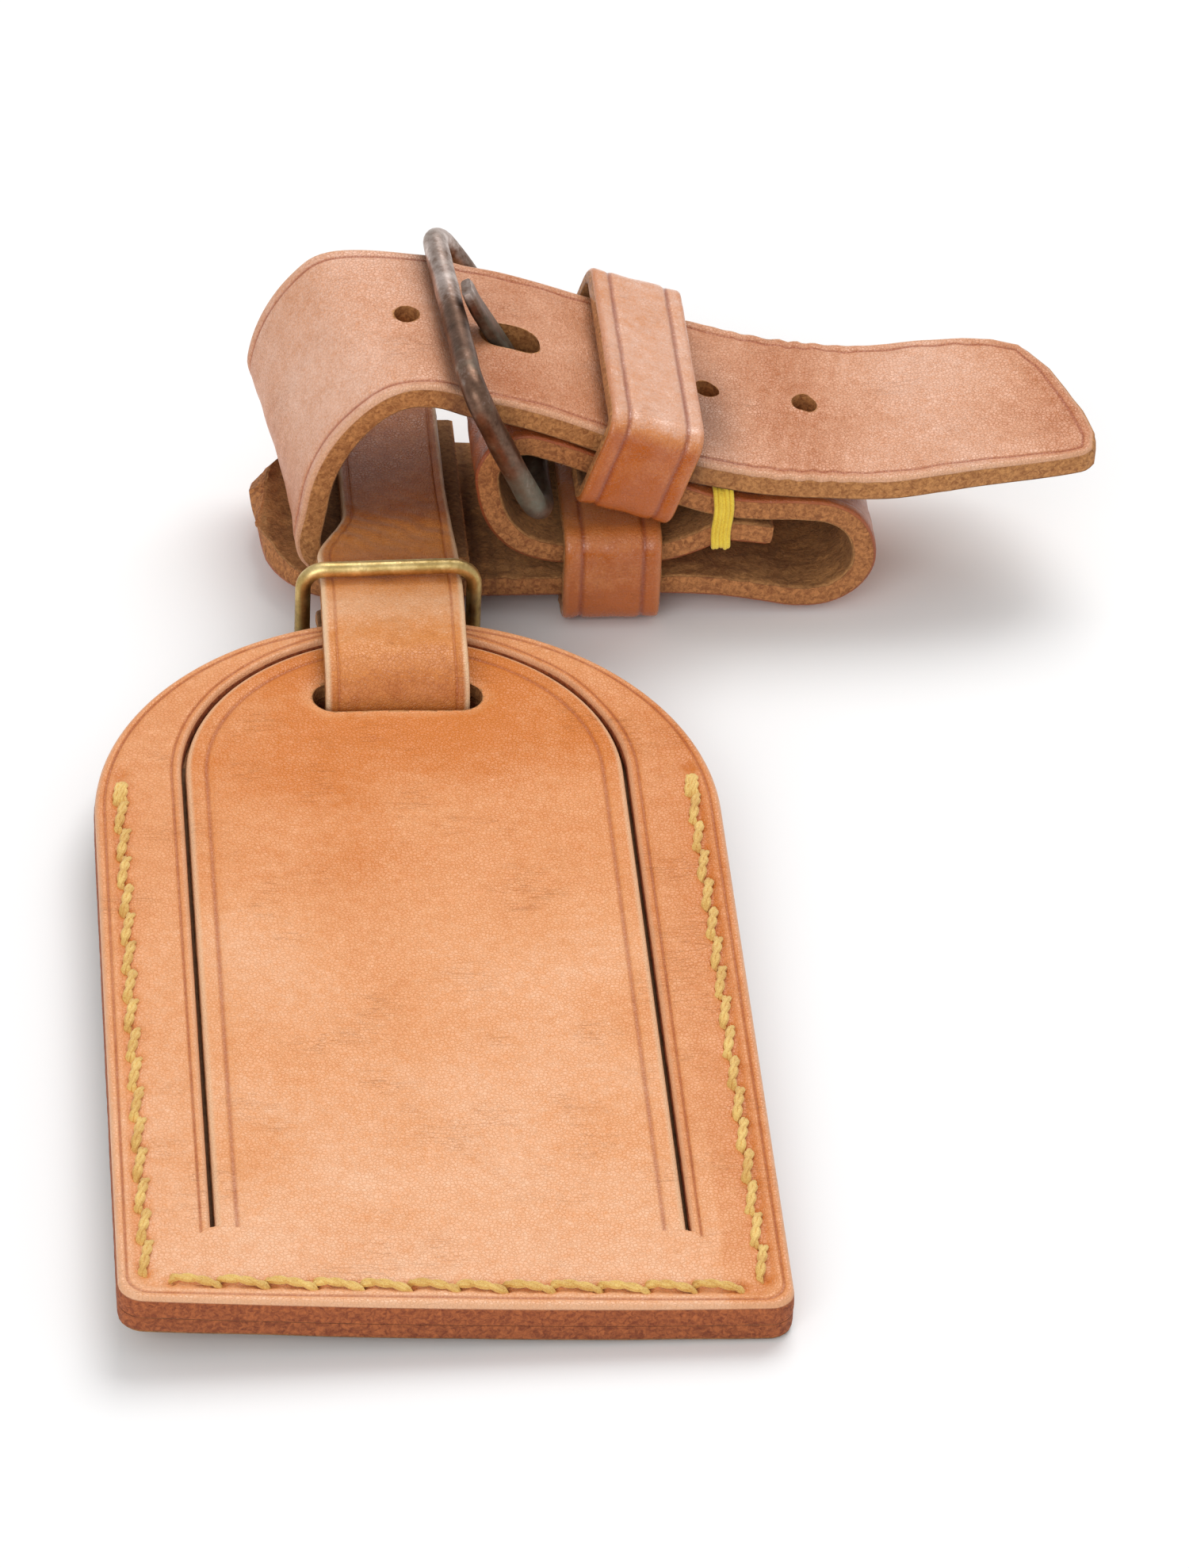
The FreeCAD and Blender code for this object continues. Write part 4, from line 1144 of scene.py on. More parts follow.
    def threads(self) -> None:
        """The three rows and the two thick bars at their ends."""
        holes = self.holes()
        count = self.side_stitches + 1
        self.seam("stitching_left", holes[:count], "stitch_left", 100)
        self.seam("stitching_right", holes[count:2 * count], "stitch_right", 200)
        self.seam("stitching_foot", holes[2 * count:], "stitch_bottom", 300)
        top = holes[count - 1][1]
        for name, x, node in (("bar_left", -1, "bartack_left"), ("bar_right", 1, "bartack_right")):
            x = x * (self.width / 2 - self.stitch_inset)
            parts = []
            for k, shift in enumerate((-0.45, 0.0, 0.45)):
                low, high = np.array([x + shift, top - 0.2]), np.array([x + shift * 0.7, top + 3.4])
                parts += self.stitch(low, high, 400 + k, 0.62 if k == 1 else 0.5, 0.27)
            sewn(name, parts, self.place, "tag", "thread", Finish.STITCH, node, -0.1)

    def build(self) -> None:
        """Builds every piece of the tag."""
        self.back_panel()
        self.border()
        self.tongue_piece()
        self.card()
        self.threads()


# ---------------------------------------------------------------- the loop strap and its ring
@dataclass
class LoopStrap:
    """The strap that ties the tag to the handle strap, with its brass ring."""

    place: Place
    over: float = 10.9
    near: float = 127.5
    far: float = 155.5
    ring_y: float = 118.5
    slot_y: float = 100.6
    thickness: float = 2.0
    width: float = 16.4
    line: float = 1.5
    wire: float = 0.9
    ring_corner: float = 2.6

    def over_tag(self, y: float) -> float:
        """Height of the strap's middle above the leaning tag."""
        return y * math.tan(self.place.tilt) + 5.0 + 1.35 + self.thickness / 2

    def path(self) -> Array:
        """Closed path of the strap's middle in (y, z)."""
        lift, leg, back, over = 4.05, 3.45, 1.3, self.over
        slot_y, near, far = self.slot_y, self.near, self.far
        slot_z = (self.over_tag(slot_y) + lift - 2.6) / 2
        turn = slot_z - (lift - 2.6)
        mid = (near + far) / 2
        points = [(slot_y, slot_z), (slot_y + 1.15, slot_z + 0.72 * turn),
                  (slot_y + 3.9, self.over_tag(slot_y) + 0.05), (slot_y + 8, self.over_tag(slot_y + 8)),
                  (self.ring_y, self.over_tag(self.ring_y)), (near - 3.5, over + 0.15), (near + 3, over),
                  (mid, over), (far - 6, over), (far + 0.6, over - 0.1), (far + 3.6, over - 1.8),
                  (far + 4.8, (over + back) / 2), (far + 3.6, back + 1.8), (far + 0.6, back + 0.1),
                  (far - 6, back), (mid, back), (near + 3, back), (near - 1.2, back + 0.1),
                  (near - 5, leg - 0.05), (self.ring_y, leg), (115.3, lift - 1.35), (109.5, lift - 2),
                  (slot_y + 4.2, lift - 2.65), (slot_y + 1.2, slot_z - 0.72 * turn)]
        return smooth_path(points, 0.5, True)

    def strap(self) -> bpy.types.Object:
        """The strap: a closed band whose plan narrows towards the far end, wrinkled near the leaf."""
        path = self.path()
        y, z = path[:, 0], path[:, 1]
        top = smooth(z, 5.0, 7.5)
        shift = 0.25 * smooth(y, 104, 118) * (1 - smooth(y, 122, 130))
        left = -8.2 + 3.6 * smooth(y, self.near - 4, self.near + 5) + shift
        right = 8.2 - 0.4 * smooth(y, self.near - 2, self.near + 12) + shift
        share = steps_from_edges(self.width, 0.5, self.line) / self.width
        x = right[:, None] + (left - right)[:, None] * share[None]
        at = self.width * share[None] * np.ones_like(x)
        edge = np.minimum(at, self.width - at)
        grid_y = y[:, None] * np.ones_like(x)
        lane = top[:, None]
        folds = (np.sin((grid_y + 0.6 * x) * 2 * np.pi / 2.3 + ripple(x, grid_y, 6.0, 41))
                 * bell(grid_y, 129.0, 4.0) * lane)
        # The first term darkens the strap's top under the curl: partly handling patina, partly painted shade of
        # the curl.
        tone = (0.8 * smooth(grid_y, 128.0, 133.0) + 0.7 * bell(grid_y, 121.0, 2.2)
                - 0.7 * bell(grid_y, 113.5, 3.0) + 0.5 * (1 - smooth(grid_y, 101.5, 108.0)) + 0.12 * folds)
        tone = tone * lane + 0.4 * (1 - lane)
        groove = 0.13 * bell(edge, self.line, 0.22)
        lift = 0.1 * folds + 0.06 * ripple(x, grid_y, 5.0, 43) - groove
        middle = np.dstack([x, grid_y, z[:, None] * np.ones_like(x)])
        # The stain term darkens the same top part again: partly handling patina, partly painted shade under the
        # curl.
        piece = Sheet(middle, self.thickness, edge, True, 0.5, lift=lift * smooth(edge, 0.0, 0.6), tone=tone,
                      stain_and_shade=0.28 * smooth(grid_y, 129.5, 134.0) * lane, gloss=0.15, seed=9,
                      ragged=0.03).build("loop_band", self.place)
        return settle(piece, "loop", "loop_leather", Finish.LOOP, "loop_strap")

    def ring(self) -> bpy.types.Object:
        """The ring: round wire along a rectangle with round corners, from the ring's box."""
        low, high = (self.place.millimetres(corner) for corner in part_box("brass_ring"))
        centre, half = (low + high) / 2, (high - low) / 2 - self.wire
        loop = rounded_loop(half[0], half[2], self.ring_corner, 0.35)
        path = np.column_stack([centre[0] + loop[:, 0], np.full(len(loop), centre[1]),
                                centre[2] + loop[:, 1]])
        path[:, 2] += 0.12 * np.sin(path[:, 0] / 5.0) * (path[:, 2] > centre[2])
        points, faces = tube(path, self.wire, 18, True)
        high_side = smooth(points[:, 2], centre[2], high[2])
        # The tone paints the upper half lighter as a painted highlight and the lower half darker as painted
        # shade; the stain adds tarnish low down.
        piece = new_piece("ring_wire", points, faces, self.place, {
            "tone": 0.5 - 0.9 * high_side, "stain_and_shade": 0.15 * (1 - high_side)})
        return settle(piece, "ring", "brass_wire", Finish.BRASS, "brass_ring")

    def build(self) -> None:
        """Builds the strap and the ring."""
        self.strap()
        self.ring()


# ---------------------------------------------------------------- the handle strap
@dataclass
class HandleStrap:
    """The handle strap: a tip piece that curls over and a leaf that carries the buckle."""

    place: Place
    near: float = 127.5
    far: float = 155.5
    pivot_x: float = 18.2
    slope: float = 0.42
    fold_low: float = 8.9
    fold_high: float = 23.62
    tie_low: float = 11.8
    tie_high: float = 15.3
    tail: float = 7.5
    tip_high: float = 27.2
    run: float = 4.3
    tip_thickness: float = 3.0
    leaf_thickness: float = 2.8
    tip_line: float = 1.55
    leaf_line: float = 1.5
    tie_x: float = 39.5
    hole_radius: float = 1.5

    def width(self) -> float:
        """Width of the strap."""
        return self.far - self.near

    def middle_y(self) -> float:
        """Middle of the strap's width."""
        return (self.near + self.far) / 2

    def lanes(self, path: Array, line: float) -> tuple[Array, Array, Array, Array]:
        """Spreads a path over the strap's width.

        Args:
            path: path points in (x, z).
            line: distance of the creased line from the long edges.

        Returns:
            x, z and place across from 0 to 1 of each point, and its distance from the nearest edge.
        """
        share = steps_from_edges(self.width(), 0.6, line) / self.width()
        x, z = (path[:, k:k + 1] * np.ones((1, len(share))) for k in (0, 1))
        portion = share[None] * np.ones_like(x)
        run = np.concatenate([[0], np.cumsum(np.linalg.norm(np.diff(path, axis=0), axis=1))])[:, None]
        across = np.minimum(portion, 1 - portion) * self.width()
        return x, z, portion, np.minimum(across, np.minimum(run, run[-1] - run))

    def tip_path(self) -> Array:
        """Middle of the tip piece in (x, z), from its tip over the curl to its tail."""
        high, tie, px, slope, tail = self.tip_high, self.tie_high, self.pivot_x, self.slope, self.tail
        points = [(84.5, high - 5.7), (76, high - 7.3), (66.6, high - 8.9), (58, tie + 2.2), (50, tie + 2.9),
                  (39.5, tie + 4.4), (px + 15.5, high - 15 * slope + 0.1), (px + 8, high - 7.3 * slope),
                  (px + 1, high - 0.2 * slope), (px - 4, high + 1.6), (10, high + 2.6), (6, high + 4.0),
                  (2.6, high + 4.1), (-1.4, high + 2.7), (-4.6, high - 0.3), (-7.2, high - 4.4),
                  (-8.8, high - 9.2), (-9.2, tail + 6.4), (-9, tail + 3.4), (-7.9, tail + 1.1),
                  (-5.6, tail + 0.1), (-2, tail), (4, tail), (10, tail)]
        return smooth_path(points, 0.55)

    def tip_end(self, x: Array, share: Array) -> tuple[Array, Array]:
        """Plan of the tip: how the end slants, and where both long edges run.

        Args:
            x: how far along the strap, from the plain path.
            share: 0 at the far edge and 1 at the near edge.

        Returns:
            Shift in x and the place across in y.
        """
        back = np.interp(share, [0, 0.2, 0.4, 0.62, 0.85, 1.0], [6.8, 4.1, 2.6, 1.2, 0.3, 0.9])
        shift = -back * smooth(x, 66.0, 84.5)
        there = x + shift
        near = self.near + np.interp(there, [60, 66, 72, 78, 82.4, 83.6], [0, 0.4, 1.6, 2.9, 3.7, 4.7])
        far = self.far - np.interp(there, [66, 71, 74.5, 77.7], [0, 0.4, 1.4, 3.6])
        return shift, far + (near - far) * share

    def tip(self) -> bpy.types.Object:
        """The tip piece: a ruled sheet whose two long edges take their own way round the curl."""
        path = self.tip_path()
        x, z, portion, edge = self.lanes(path, self.tip_line)
        upper = np.arange(len(path)) < np.argmin(path[:, 0])
        run = (upper[:, None] | (z > self.tail + 4)) * np.ones_like(x)
        curl = smooth(-x, -5.0, 3.0) * smooth(z, self.tail + 1.0, self.tail + 9.0)
        away = 1 - portion
        bent_x = curl * (1.1 - 5.4 * away)
        bent_z = curl * 2.3 * away**1.3
        bent_z += run * 1.5 * away**1.5 * bell(x, 35.0, 9.0) - run * 0.6 * portion**2 * bell(x, 45.0, 9.0)
        bent_z -= run * smooth(x, 64.0, 85.0) * (1.6 + 1.4 * portion)
        shift, y = self.tip_end(x * run, portion)
        lower = (1 - run) * np.ones_like(x)
        y = y * (1 - lower) + (self.far - self.width() * portion) * lower
        real_x = x + shift * run + bent_x
        groove = 0.16 * bell(edge, self.tip_line, 0.26)
        fan = (np.sin((x + 0.35 * (portion - 0.5) * 18) * 2 * np.pi / 2.6 + 0.7 * ripple(x, y, 7.0, 51))
               * (bell(x, 49.0, 7.0) + 0.6 * bell(x, 31.0, 4.0)) * run)
        lift = 0.14 * fan + 0.09 * ripple(x, y, 6.0, 53) * smooth(edge, 0, 1.5) - groove
        low = (1 - smooth(z, self.tail + 3, self.tail + 16))
        # Painted light in this tone: 0.75 * low is painted shade on the curl's lower side and the tail under
        # it, the bell at x = -1 is a painted highlight on the curl's crest, and the bells at x = 14 and x = 30
        # are painted shade beside and under the keeper.
        tone = (0.1 * fan + 0.75 * low * (x < 5) + 0.4 * bell(x, 49.0, 6.0) * run
                - 0.35 * bell(x, 66.0, 7.0) + 0.35 * smooth(x, 76, 84) - 0.35 * bell(x, -1.0, 5.0) * run
                + 0.55 * bell(x, 14.0, 5.0) * run + 0.25 * run * bell(x, 30.0, 12.0))
        # A dark band beside the buckle's outer bar: partly wear, partly painted shadow of the wire.
        bar = np.exp(-(((x - 7.2 - 3.0 * (portion - 0.5)) / 2.0) ** 2)) * run
        smudge = np.exp(-((x - 38.0) / 3.2) ** 2 - ((portion - 0.66) / 0.32) ** 2) * 0.5 * run
        # A dark band at the keeper's edge: painted shade where the keeper stands over the strap.
        keeper_edge_shade = np.exp(-((x - 35.5) / 1.4) ** 2) * 0.4 * run
        middle = np.dstack([real_x, y, z + bent_z])
        piece = Sheet(middle, self.tip_thickness, edge, False, 0.55, lift=lift, tone=tone,
                      stain_and_shade=np.clip(0.55 * bar + smudge + keeper_edge_shade, 0, 0.8), seed=13, gloss=0.15,
                      ragged=0.06).build("handle_tip", self.place)
        punched(piece, self.punches())
        return settle(piece, "wrap", "strap_leather", Finish.STRAP, "tip_strap")

    def punches(self) -> list[bpy.types.Object]:
        """The three round holes and the long hole of the prong."""
        ring = circle(self.hole_radius, 40) * np.array([1.0, 1.08])
        made = [plan_punch(f"hole_punch_{k}", (x, self.middle_y() + 0.8), ring, low, rise, self.place)
                for k, (x, low, rise) in enumerate(((3.1, 25.0, 20.0), (38.7, 14.5, 16.0), (50.4, 13.5, 16.0)))]
        loop = rounded_loop(3.55, 2.45, 2.2, 0.4)
        return made + [plan_punch("prong_punch", (15.15, self.middle_y()), loop, 24.5, 20.0, self.place)]

    def leaf_path(self) -> Array:
        """Middle of the leaf in (x, z): pinched at the tie, round the bar, over and back beneath."""
        low, high, tie = self.fold_low, self.fold_high, self.tie_high
        px, slope, run = self.pivot_x, self.slope, self.run
        points = [(45.5, self.tie_low - 0.75), (42.5, self.tie_low - 0.3), (39.5, self.tie_low - 0.15),
                  (36.6, self.tie_low - 1.5), (33.4, low + 0.2), (29, low), (24.5, low), (20, low + 0.2),
                  (16, low + 1.7), (13.4, low + 4.7), (12.1, low + 8.6), (11.9, high - 2.9), (13.3, high - 0.3),
                  (16.2, high + 0.75), (px + 1, high - 0.2 * slope), (px + 8, high - 7.3 * slope),
                  (px + 14.5, high - 14 * slope), (39.5, tie), (44, tie - 0.6), (49, tie - 0.8),
                  (52.6, tie - 1.4), (55.1, tie - 3.1), (56.4, tie - 5.8), (56.5, tie - 8.6),
                  (55.2, tie - 11.0), (52.6, 2.55), (49, 2.15), (45, 2.9), (40, run - 0.5), (34, run - 0.05),
                  (27, run), (20, run), (13, run), (6, run), (-1, run), (-8, run), (-11.5, run + 0.4),
                  (-14, run + 1.4)]
        return smooth_path(points, 0.55)

    def leaf(self) -> bpy.types.Object:
        """The leaf: grain outside, suede inside, ribbed across where it lies under the fold."""
        x, z, portion, edge = self.lanes(self.leaf_path(), self.leaf_line)
        y = self.near + self.width() * portion
        bottom = (z < 6.2) * np.ones_like(x)
        left = np.clip((-4.5 - x) / 9.6, 0, 1) * bottom
        trim = 12.3 * (1 - np.sqrt(1 - left**2)) * (2 * portion - 1)
        y = y - trim
        z = z + 1.2 * left**2 * portion
        ribs = np.sin(x * 2 * np.pi / 2.1 + 0.5 * ripple(x, y, 7.0, 61)) * bell(x, 6.0, 9.0) * bottom
        tone = 0.4 * bell(x, 12.5, 3.0) - 0.3 * bell(x, 50.0, 8.0) + 0.25 * ripple(x, y, 5.0, 63)
        lift = 0.07 * ripple(x, y, 5.0, 65) * smooth(edge, 0, 1.0)
        middle = np.dstack([x, y, z])
        under = 0.12 * ribs + 0.1 * ripple(x, y, 2.2, 67) * (bottom > 0)
        stain_and_shade = np.clip(0.3 * ribs + 0.3 * (bottom > 0) * bell(x, 8.0, 6.0), 0, 0.6)
        piece = Sheet(middle, self.leaf_thickness, edge, False, 0.4, lift=lift, under=under, tone=tone,
                      stain_and_shade=stain_and_shade, seed=17, gloss=0.3, ragged=0.09).build("buckle_leaf", self.place)
        gate = rounded_loop(3.5, 2.4, 2.2, 0.4)
        punched(piece, [plan_punch("gate_punch", (17.1, self.middle_y()), gate, 19.6, 10.0, self.place)])
        return settle(piece, "wrap", "suede_leather", Finish.LEAF, "base_leaf")

    def tie(self, name: str, node: str, near: bool) -> bpy.types.Object:
        """Five turns of bright thread round the pinched layers, at one edge."""
        rng = np.random.default_rng(71 if near else 72)
        sign = 1.0 if near else -1.0
        centre_y = (self.near + 1.6) if near else (self.far - 1.6)
        centre_z, half_z = (self.tie_low + self.tie_high - 0.3) / 2, 4.05
        parts = []
        for k in range(5):
            loop = rounded_loop(2.0 + 0.08 * (k % 2), half_z - 0.1 * (k % 3), 1.0, 0.45)
            lean = rng.normal(0, 0.18)
            x = self.tie_x + 0.44 * (k - 2) + lean * loop[:, 1] / half_z + 0.1 * np.sin(loop[:, 1])
            path = np.column_stack([x, centre_y + sign * loop[:, 0], centre_z + loop[:, 1]])
            parts.append(tube(path, 0.3, 8, True))
        return sewn(name, parts, self.place, "wrap", "thread", Finish.TIE, node)

    def build(self) -> None:
        """Builds both pieces of the strap and the ties."""
        self.tip()
        self.leaf()
        self.tie("tie_near", "thread_tie_near", True)
        self.tie("tie_far", "thread_tie_far", False)


# ---------------------------------------------------------------- the keepers
@dataclass
class Keeper:
    """A closed leather band that holds the layers together."""

    place: Place
    name: str
    node: str
    body: str
    centre: tuple[float, float, float]
    inner: tuple[float, float]
    lean: float
    # How light the band's top is drawn, lower being lighter: painted light from above.
    pale: float
    band: float = 11.4
    thickness: float = 2.0
    line: float = 2.1
    laces: int = 5

    def frame_axes(self) -> tuple[Array, Array]:
        """Directions along the band's width and upwards, turned about y by the lean."""
        c, s = math.cos(math.radians(self.lean)), math.sin(math.radians(self.lean))
        return np.array([c, 0.0, -s]), np.array([s, 0.0, c])

    def ring(self) -> bpy.types.Object:
        """The band: a closed sheet with two creases; its outer corners are full and round."""
        half = self.thickness / 2
        loop = rounded_loop(self.inner[0] / 2 + half, self.inner[1] / 2 + half, 1.9, 0.4)
        share = steps_from_edges(self.band, 0.45, self.line) / self.band
        wide, up = self.frame_axes()
        centre = np.array(self.centre)
        across = (share - 0.5) * self.band
        middle = (centre + loop[:, None, :1] * np.array([0.0, 1.0, 0.0]) + loop[:, None, 1:] * up
                  + across[None, :, None] * wide)
        edge = np.minimum(share, 1 - share)[None] * self.band * np.ones((len(loop), 1))
        flat_z = loop[:, 1:] / (self.inner[1] / 2)
        near_side = smooth(-loop[:, :1], self.inner[0] / 2 - 1.5, self.inner[0] / 2 + 0.5)
        top = smooth(loop[:, 1:], self.inner[1] / 2 - 0.8, self.inner[1] / 2 + 0.8)
        groove = 0.2 * bell(edge, self.line, 0.35)
        wave = 0.05 * ripple(across[None], loop[:, :1] + loop[:, 1:], 4.0, 81)
        # Painted light: the top is drawn lighter than the sides, a lighter band across the near face is a
        # painted highlight, and the near face's lower part is drawn darker as painted shade.
        tone = (0.9 - (self.pale + 0.9) * top + 0.2 * near_side - 0.3 * near_side * bell(flat_z, 0.2, 0.5)
                + 0.4 * near_side * smooth(-flat_z, 0.0, 1.0)) * np.ones_like(edge)
        piece = Sheet(middle, self.thickness, edge, True, 0.55, lift=wave - groove, tone=tone,
                      gloss=(0.1 + 0.75 * (1 - top)) * np.ones_like(edge), seed=19, ragged=0.07).build(
                          self.name, self.place)
        return settle(piece, self.body, "keeper_leather", Finish.KEEPER, self.node)

    def seam(self) -> bpy.types.Object:
        """Laced thread over the band's butt joint at the far side."""
        wide, up = self.frame_axes()
        centre = np.array(self.centre)
        out = np.array([0.0, 1.0, 0.0])
        level = self.inner[0] / 2 + self.thickness + 0.12
        parts = []
        heights = np.linspace(-self.inner[1] / 2 + 0.9, self.inner[1] / 2 - 0.9, self.laces + 1)
        for k in range(self.laces):
            t = np.linspace(0, 1, 9)[:, None]
            side = 0.38 * (1 - 2 * t) * (1 if k % 2 else -1)
            height = heights[k] * (1 - t) + heights[k + 1] * t
            line = centre + out * (level + 0.12 * np.sin(np.pi * t)) + up * height + wide * side
            parts.append(tube(line, 0.22, 7, False))
        return sewn(self.name + "_lacing", parts, self.place, self.body, "seam_thread", Finish.SEAM,
                    self.node + "_seam")

    def build(self) -> None:
        """Builds the band and its lacing."""
        self.ring()
        self.seam()


# ---------------------------------------------------------------- the buckle
@dataclass
class Buckle:
    """The wire buckle and its prong, turning about a bar inside the leaf's fold."""

    place: Place
    pivot: tuple[float, float, float] = (18.2, 141.5, 16.36)
    lean: float = 61.0
    reach: float = 20.6
    half_width: float = 17.5
    wire: float = 1.5
    prong_width: float = 3.6
    prong_thickness: float = 1.8
    prong_length: float = 22.4
    corner: float = 4.0
    eye_radius: float = 2.1
    turned: float = 1.2
    raised: float = 0.4

    def axes(self) -> tuple[Array, Array, Array]:
        """Along the rails, square to them on the outside, and along the bar."""
        c, s = math.cos(math.radians(self.lean)), math.sin(math.radians(self.lean))
        return np.array([-c, 0.0, s]), np.array([s, 0.0, c]), np.array([0.0, 1.0, 0.0])

    def frame(self) -> bpy.types.Object:
        """The frame: round wire along a rounded rectangle, its outer bar turned a little."""
        along, _, bar = self.axes()
        loop = rounded_loop(self.half_width, self.reach / 2, self.corner, 0.4)
        reach = loop[:, 1:] + self.reach / 2
        path = np.array(self.pivot) + bar * loop[:, :1] + along * reach
        path[:, 0] -= loop[:, 0] / self.half_width * self.turned * (reach[:, 0] / self.reach) ** 1.5
        path[:, 2] -= loop[:, 0] / self.half_width * self.raised * (reach[:, 0] / self.reach) ** 2
        thin = self.wire - 0.04 + 0.03 * np.sin(np.arange(len(path)) * 0.35)
        points, faces = tube(path, thin, 20, True)
        height = (points - np.array(self.pivot)) @ along
        lateral = points[:, 1] - self.pivot[1]
        near = smooth(-lateral, -4.0, 6.0)
        # Painted light: the far part of the outer bar is drawn lighter as a painted reflection, the near part
        # darker as painted shade.
        tone = -0.55 * (1 - near) * smooth(height, 14, 20) + 0.3 * near
        crust = (0.75 * bell(height, 4.0, 4.5) + 0.1
                 + 0.25 * bell(np.abs(lateral), 13.5, 1.6) * smooth(height, 14, 20))
        piece = new_piece("buckle_wire", points, faces, self.place, {"tone": tone, "stain_and_shade": crust * 0.8})
        return settle(piece, "buckle", "buckle_bronze", Finish.BRONZE, "buckle_frame")

    def prong(self) -> bpy.types.Object:
        """The prong: an eye round the bar and a flat arm that bows over the outer bar."""
        along, outward, bar = self.axes()
        turn = np.linspace(0, 2 * np.pi, 40, endpoint=False)[:, None]
        pivot = np.array(self.pivot)
        radial = along * np.cos(turn) + outward * np.sin(turn)
        eye_section = rounded_loop(self.prong_width / 2 - 0.02, 0.52, 0.3, 0.25)
        bars = np.repeat(bar[None], len(turn), 0)
        eye, eye_quads = sweep(pivot + radial * self.eye_radius, bars, radial, eye_section, True)
        t = np.linspace(0, 1, 44)[:, None]
        bow = 0.12 * np.sin(np.pi * t) ** 2 + 0.25 * smooth(t, 0.85, 1.0)
        base = 1.62 + self.prong_thickness / 2
        line = pivot + along * (0.6 + (self.prong_length - 0.7) * t) + outward * (base + bow)
        ahead = np.gradient(line, axis=0)
        ahead /= np.linalg.norm(ahead, axis=1, keepdims=True)
        bars = np.repeat(bar[None], len(t), 0)
        face = np.cross(ahead, bars)
        face *= np.sign(face @ outward)[:, None]
        section = rounded_loop(1.0, 1.0, 0.45, 0.22)
        wide = self.prong_width / 2 * (0.94 + 0.06 * t)
        thick = self.prong_thickness / 2 * (1 - 0.22 * t**2)
        ends = np.minimum(1.0, 0.86 + 0.14 * np.minimum(t, 1 - t) / 0.03)
        sized = section[None] * np.concatenate([wide * ends, thick * ends], axis=1)[:, None]
        arm, arm_quads = sweep(line, bars, face, sized, False)
        count = section.shape[0]
        total = arm.shape[0] * count
        caps = [list(range(count))[::-1], list(range(total - count, total))]
        points, faces = joined([(eye.reshape(-1, 3), eye_quads.tolist()),
                                (arm.reshape(-1, 3), arm_quads.tolist() + caps)])
        height = (points - pivot) @ along
        # The tone keeps the arm dark and paints its tip lighter as a painted highlight; the stain is
        # bronze-green patina, less towards the tip.
        piece = new_piece("prong_arm", points, faces, self.place, {
            "tone": 0.5 - 0.8 * smooth(height, 20.8, 22.3), "stain_and_shade": 0.45 - 0.3 * smooth(height, 16, 21)})
        return settle(piece, "prong", "buckle_bronze", Finish.BRONZE, "buckle_prong")

    def build(self) -> None:
        """Builds the frame and the prong."""
        self.frame()
        self.prong()


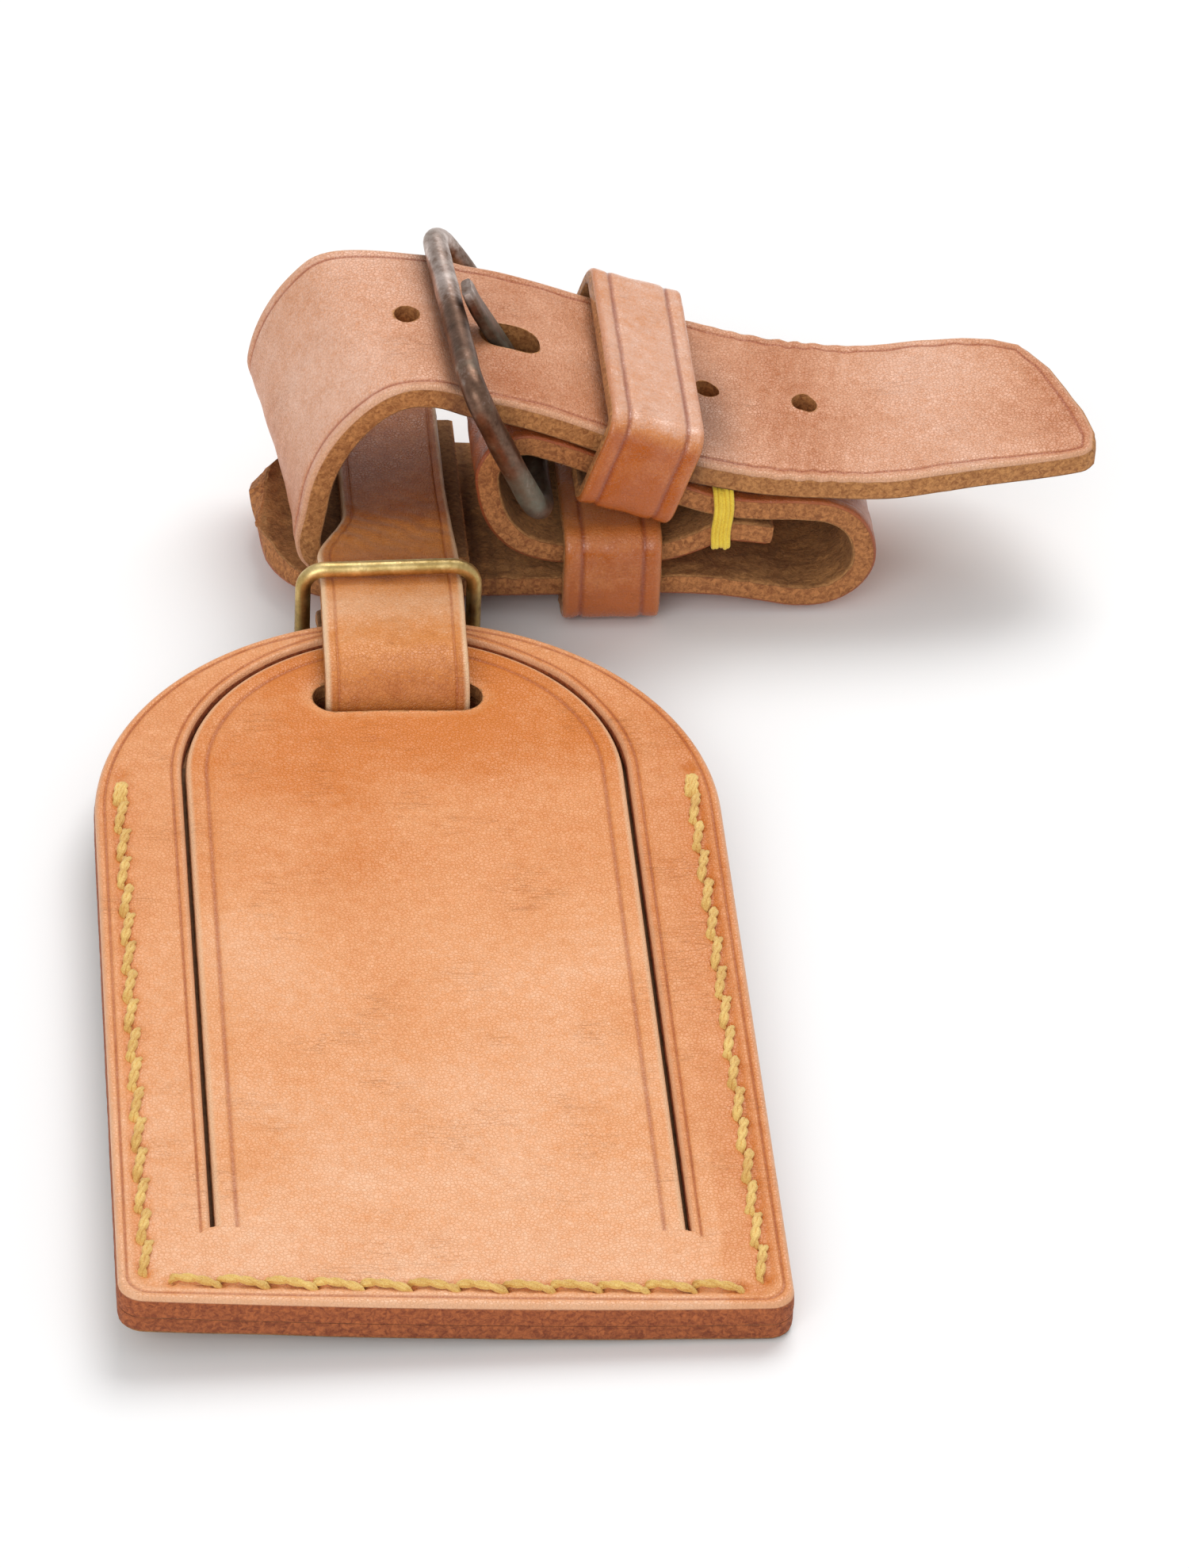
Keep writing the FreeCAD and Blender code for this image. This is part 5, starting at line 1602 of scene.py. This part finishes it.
# ---------------------------------------------------------------- the studio
@dataclass
class Studio:
    """A pale floor, soft light and the camera."""

    place: Place
    target: tuple[float, float, float] = (22.314, 94.985, 0.0)
    elevation: float = 37.455
    azimuth: float = -6.689
    roll: float = 2.961
    distance: float = 813.64
    lens: float = 163.8

    def floor(self) -> None:
        """A wide pale sheet under the object."""
        half = 3.0
        z = -0.0002
        mesh = bpy.data.meshes.new("studio_floor")
        corners = [(-half, -half, z), (half, -half, z), (half, half, z), (-half, half, z)]
        mesh.from_pydata(corners, [], [(0, 1, 2, 3)])
        piece = bpy.data.objects.new("studio_floor", mesh)
        bpy.context.scene.collection.objects.link(piece)
        g = Graph("studio_white")
        mesh.materials.append(g.finish(srgb(250, 250, 250), 0.9, None, Specular_IOR_Level=0.1))

    def light(self, name: str, spot: tuple[float, float, float], size: float, power: float) -> None:
        """A square soft light that looks at the object.

        Args:
            name: name of the light.
            spot: its place from the object's middle, in metres.
            size: its side, in metres.
            power: its power, in watts.
        """
        lamp = bpy.data.lights.new(name, "AREA")
        lamp.size, lamp.energy = size, power
        holder = bpy.data.objects.new(name, lamp)
        back = np.array(spot) / np.linalg.norm(spot)
        right = np.cross([0.0, 0.0, 1.0], back)
        right /= np.linalg.norm(right)
        holder.matrix_world = Matrix([[*row, where] for row, where in zip(
            np.stack([right, np.cross(back, right), back], axis=1), spot)] + [[0, 0, 0, 1]])
        bpy.context.scene.collection.objects.link(holder)

    def camera(self) -> None:
        """The camera, from its direction, roll and distance to a point on the table."""
        el, az, roll = (math.radians(value) for value in (self.elevation, self.azimuth, self.roll))
        back = np.array([math.sin(az) * math.cos(el), -math.cos(az) * math.cos(el), math.sin(el)])
        right = np.cross(-back, [0.0, 0.0, 1.0])
        right /= np.linalg.norm(right)
        up = np.cross(right, -back)
        turned = right * math.cos(roll) + up * math.sin(roll)
        tall = -right * math.sin(roll) + up * math.cos(roll)
        where = self.place.metres(np.array(self.target)) + back * self.distance * MM
        lens = bpy.data.cameras.new("studio_camera")
        lens.lens, lens.sensor_width, lens.clip_start = self.lens, 36.0, 0.05
        holder = bpy.data.objects.new("studio_camera", lens)
        holder.matrix_world = Matrix([[*row, spot] for row, spot in zip(
            np.stack([turned, tall, back], axis=1), where)] + [[0, 0, 0, 1]])
        bpy.context.scene.collection.objects.link(holder)
        bpy.context.scene.camera = holder

    def build(self) -> None:
        """Sets the studio up."""
        self.floor()
        self.light("key_light", (0.25, 0.55, 0.95), 0.7, 7.0)
        self.light("fill_light", (-0.45, -0.95, 0.6), 0.8, 5.0)
        world = bpy.data.worlds.new("studio_world")
        world.use_nodes = True
        world.node_tree.nodes["Background"].inputs[0].default_value = (1.0, 1.0, 1.0, 1.0)
        world.node_tree.nodes["Background"].inputs[1].default_value = 0.55
        bpy.context.scene.world = world
        bpy.context.scene.view_settings.view_transform = "Standard"
        self.camera()


def main() -> None:
    """Builds every assembly in order."""
    logging.basicConfig(level=logging.INFO, format="%(name)s: %(message)s")
    place = Place.from_frame(115.5, 2.2)
    Tag(place).build()
    LoopStrap(place).build()
    HandleStrap(place).build()
    Keeper(place, "keeper_top", "upper_keeper", "keeper_upper", (29.4, 141.5, 21.78), (29.6, 9.42), 18.0,
           0.55).build()
    Keeper(place, "keeper_bottom", "lower_keeper", "keeper_lower", (26.7, 141.5, 6.6), (29.6, 8.6), 0.0,
           -0.3).build()
    Buckle(place).build()
    Studio(place).build()
    bpy.context.view_layer.update()


if __name__ == "__main__":
    main()
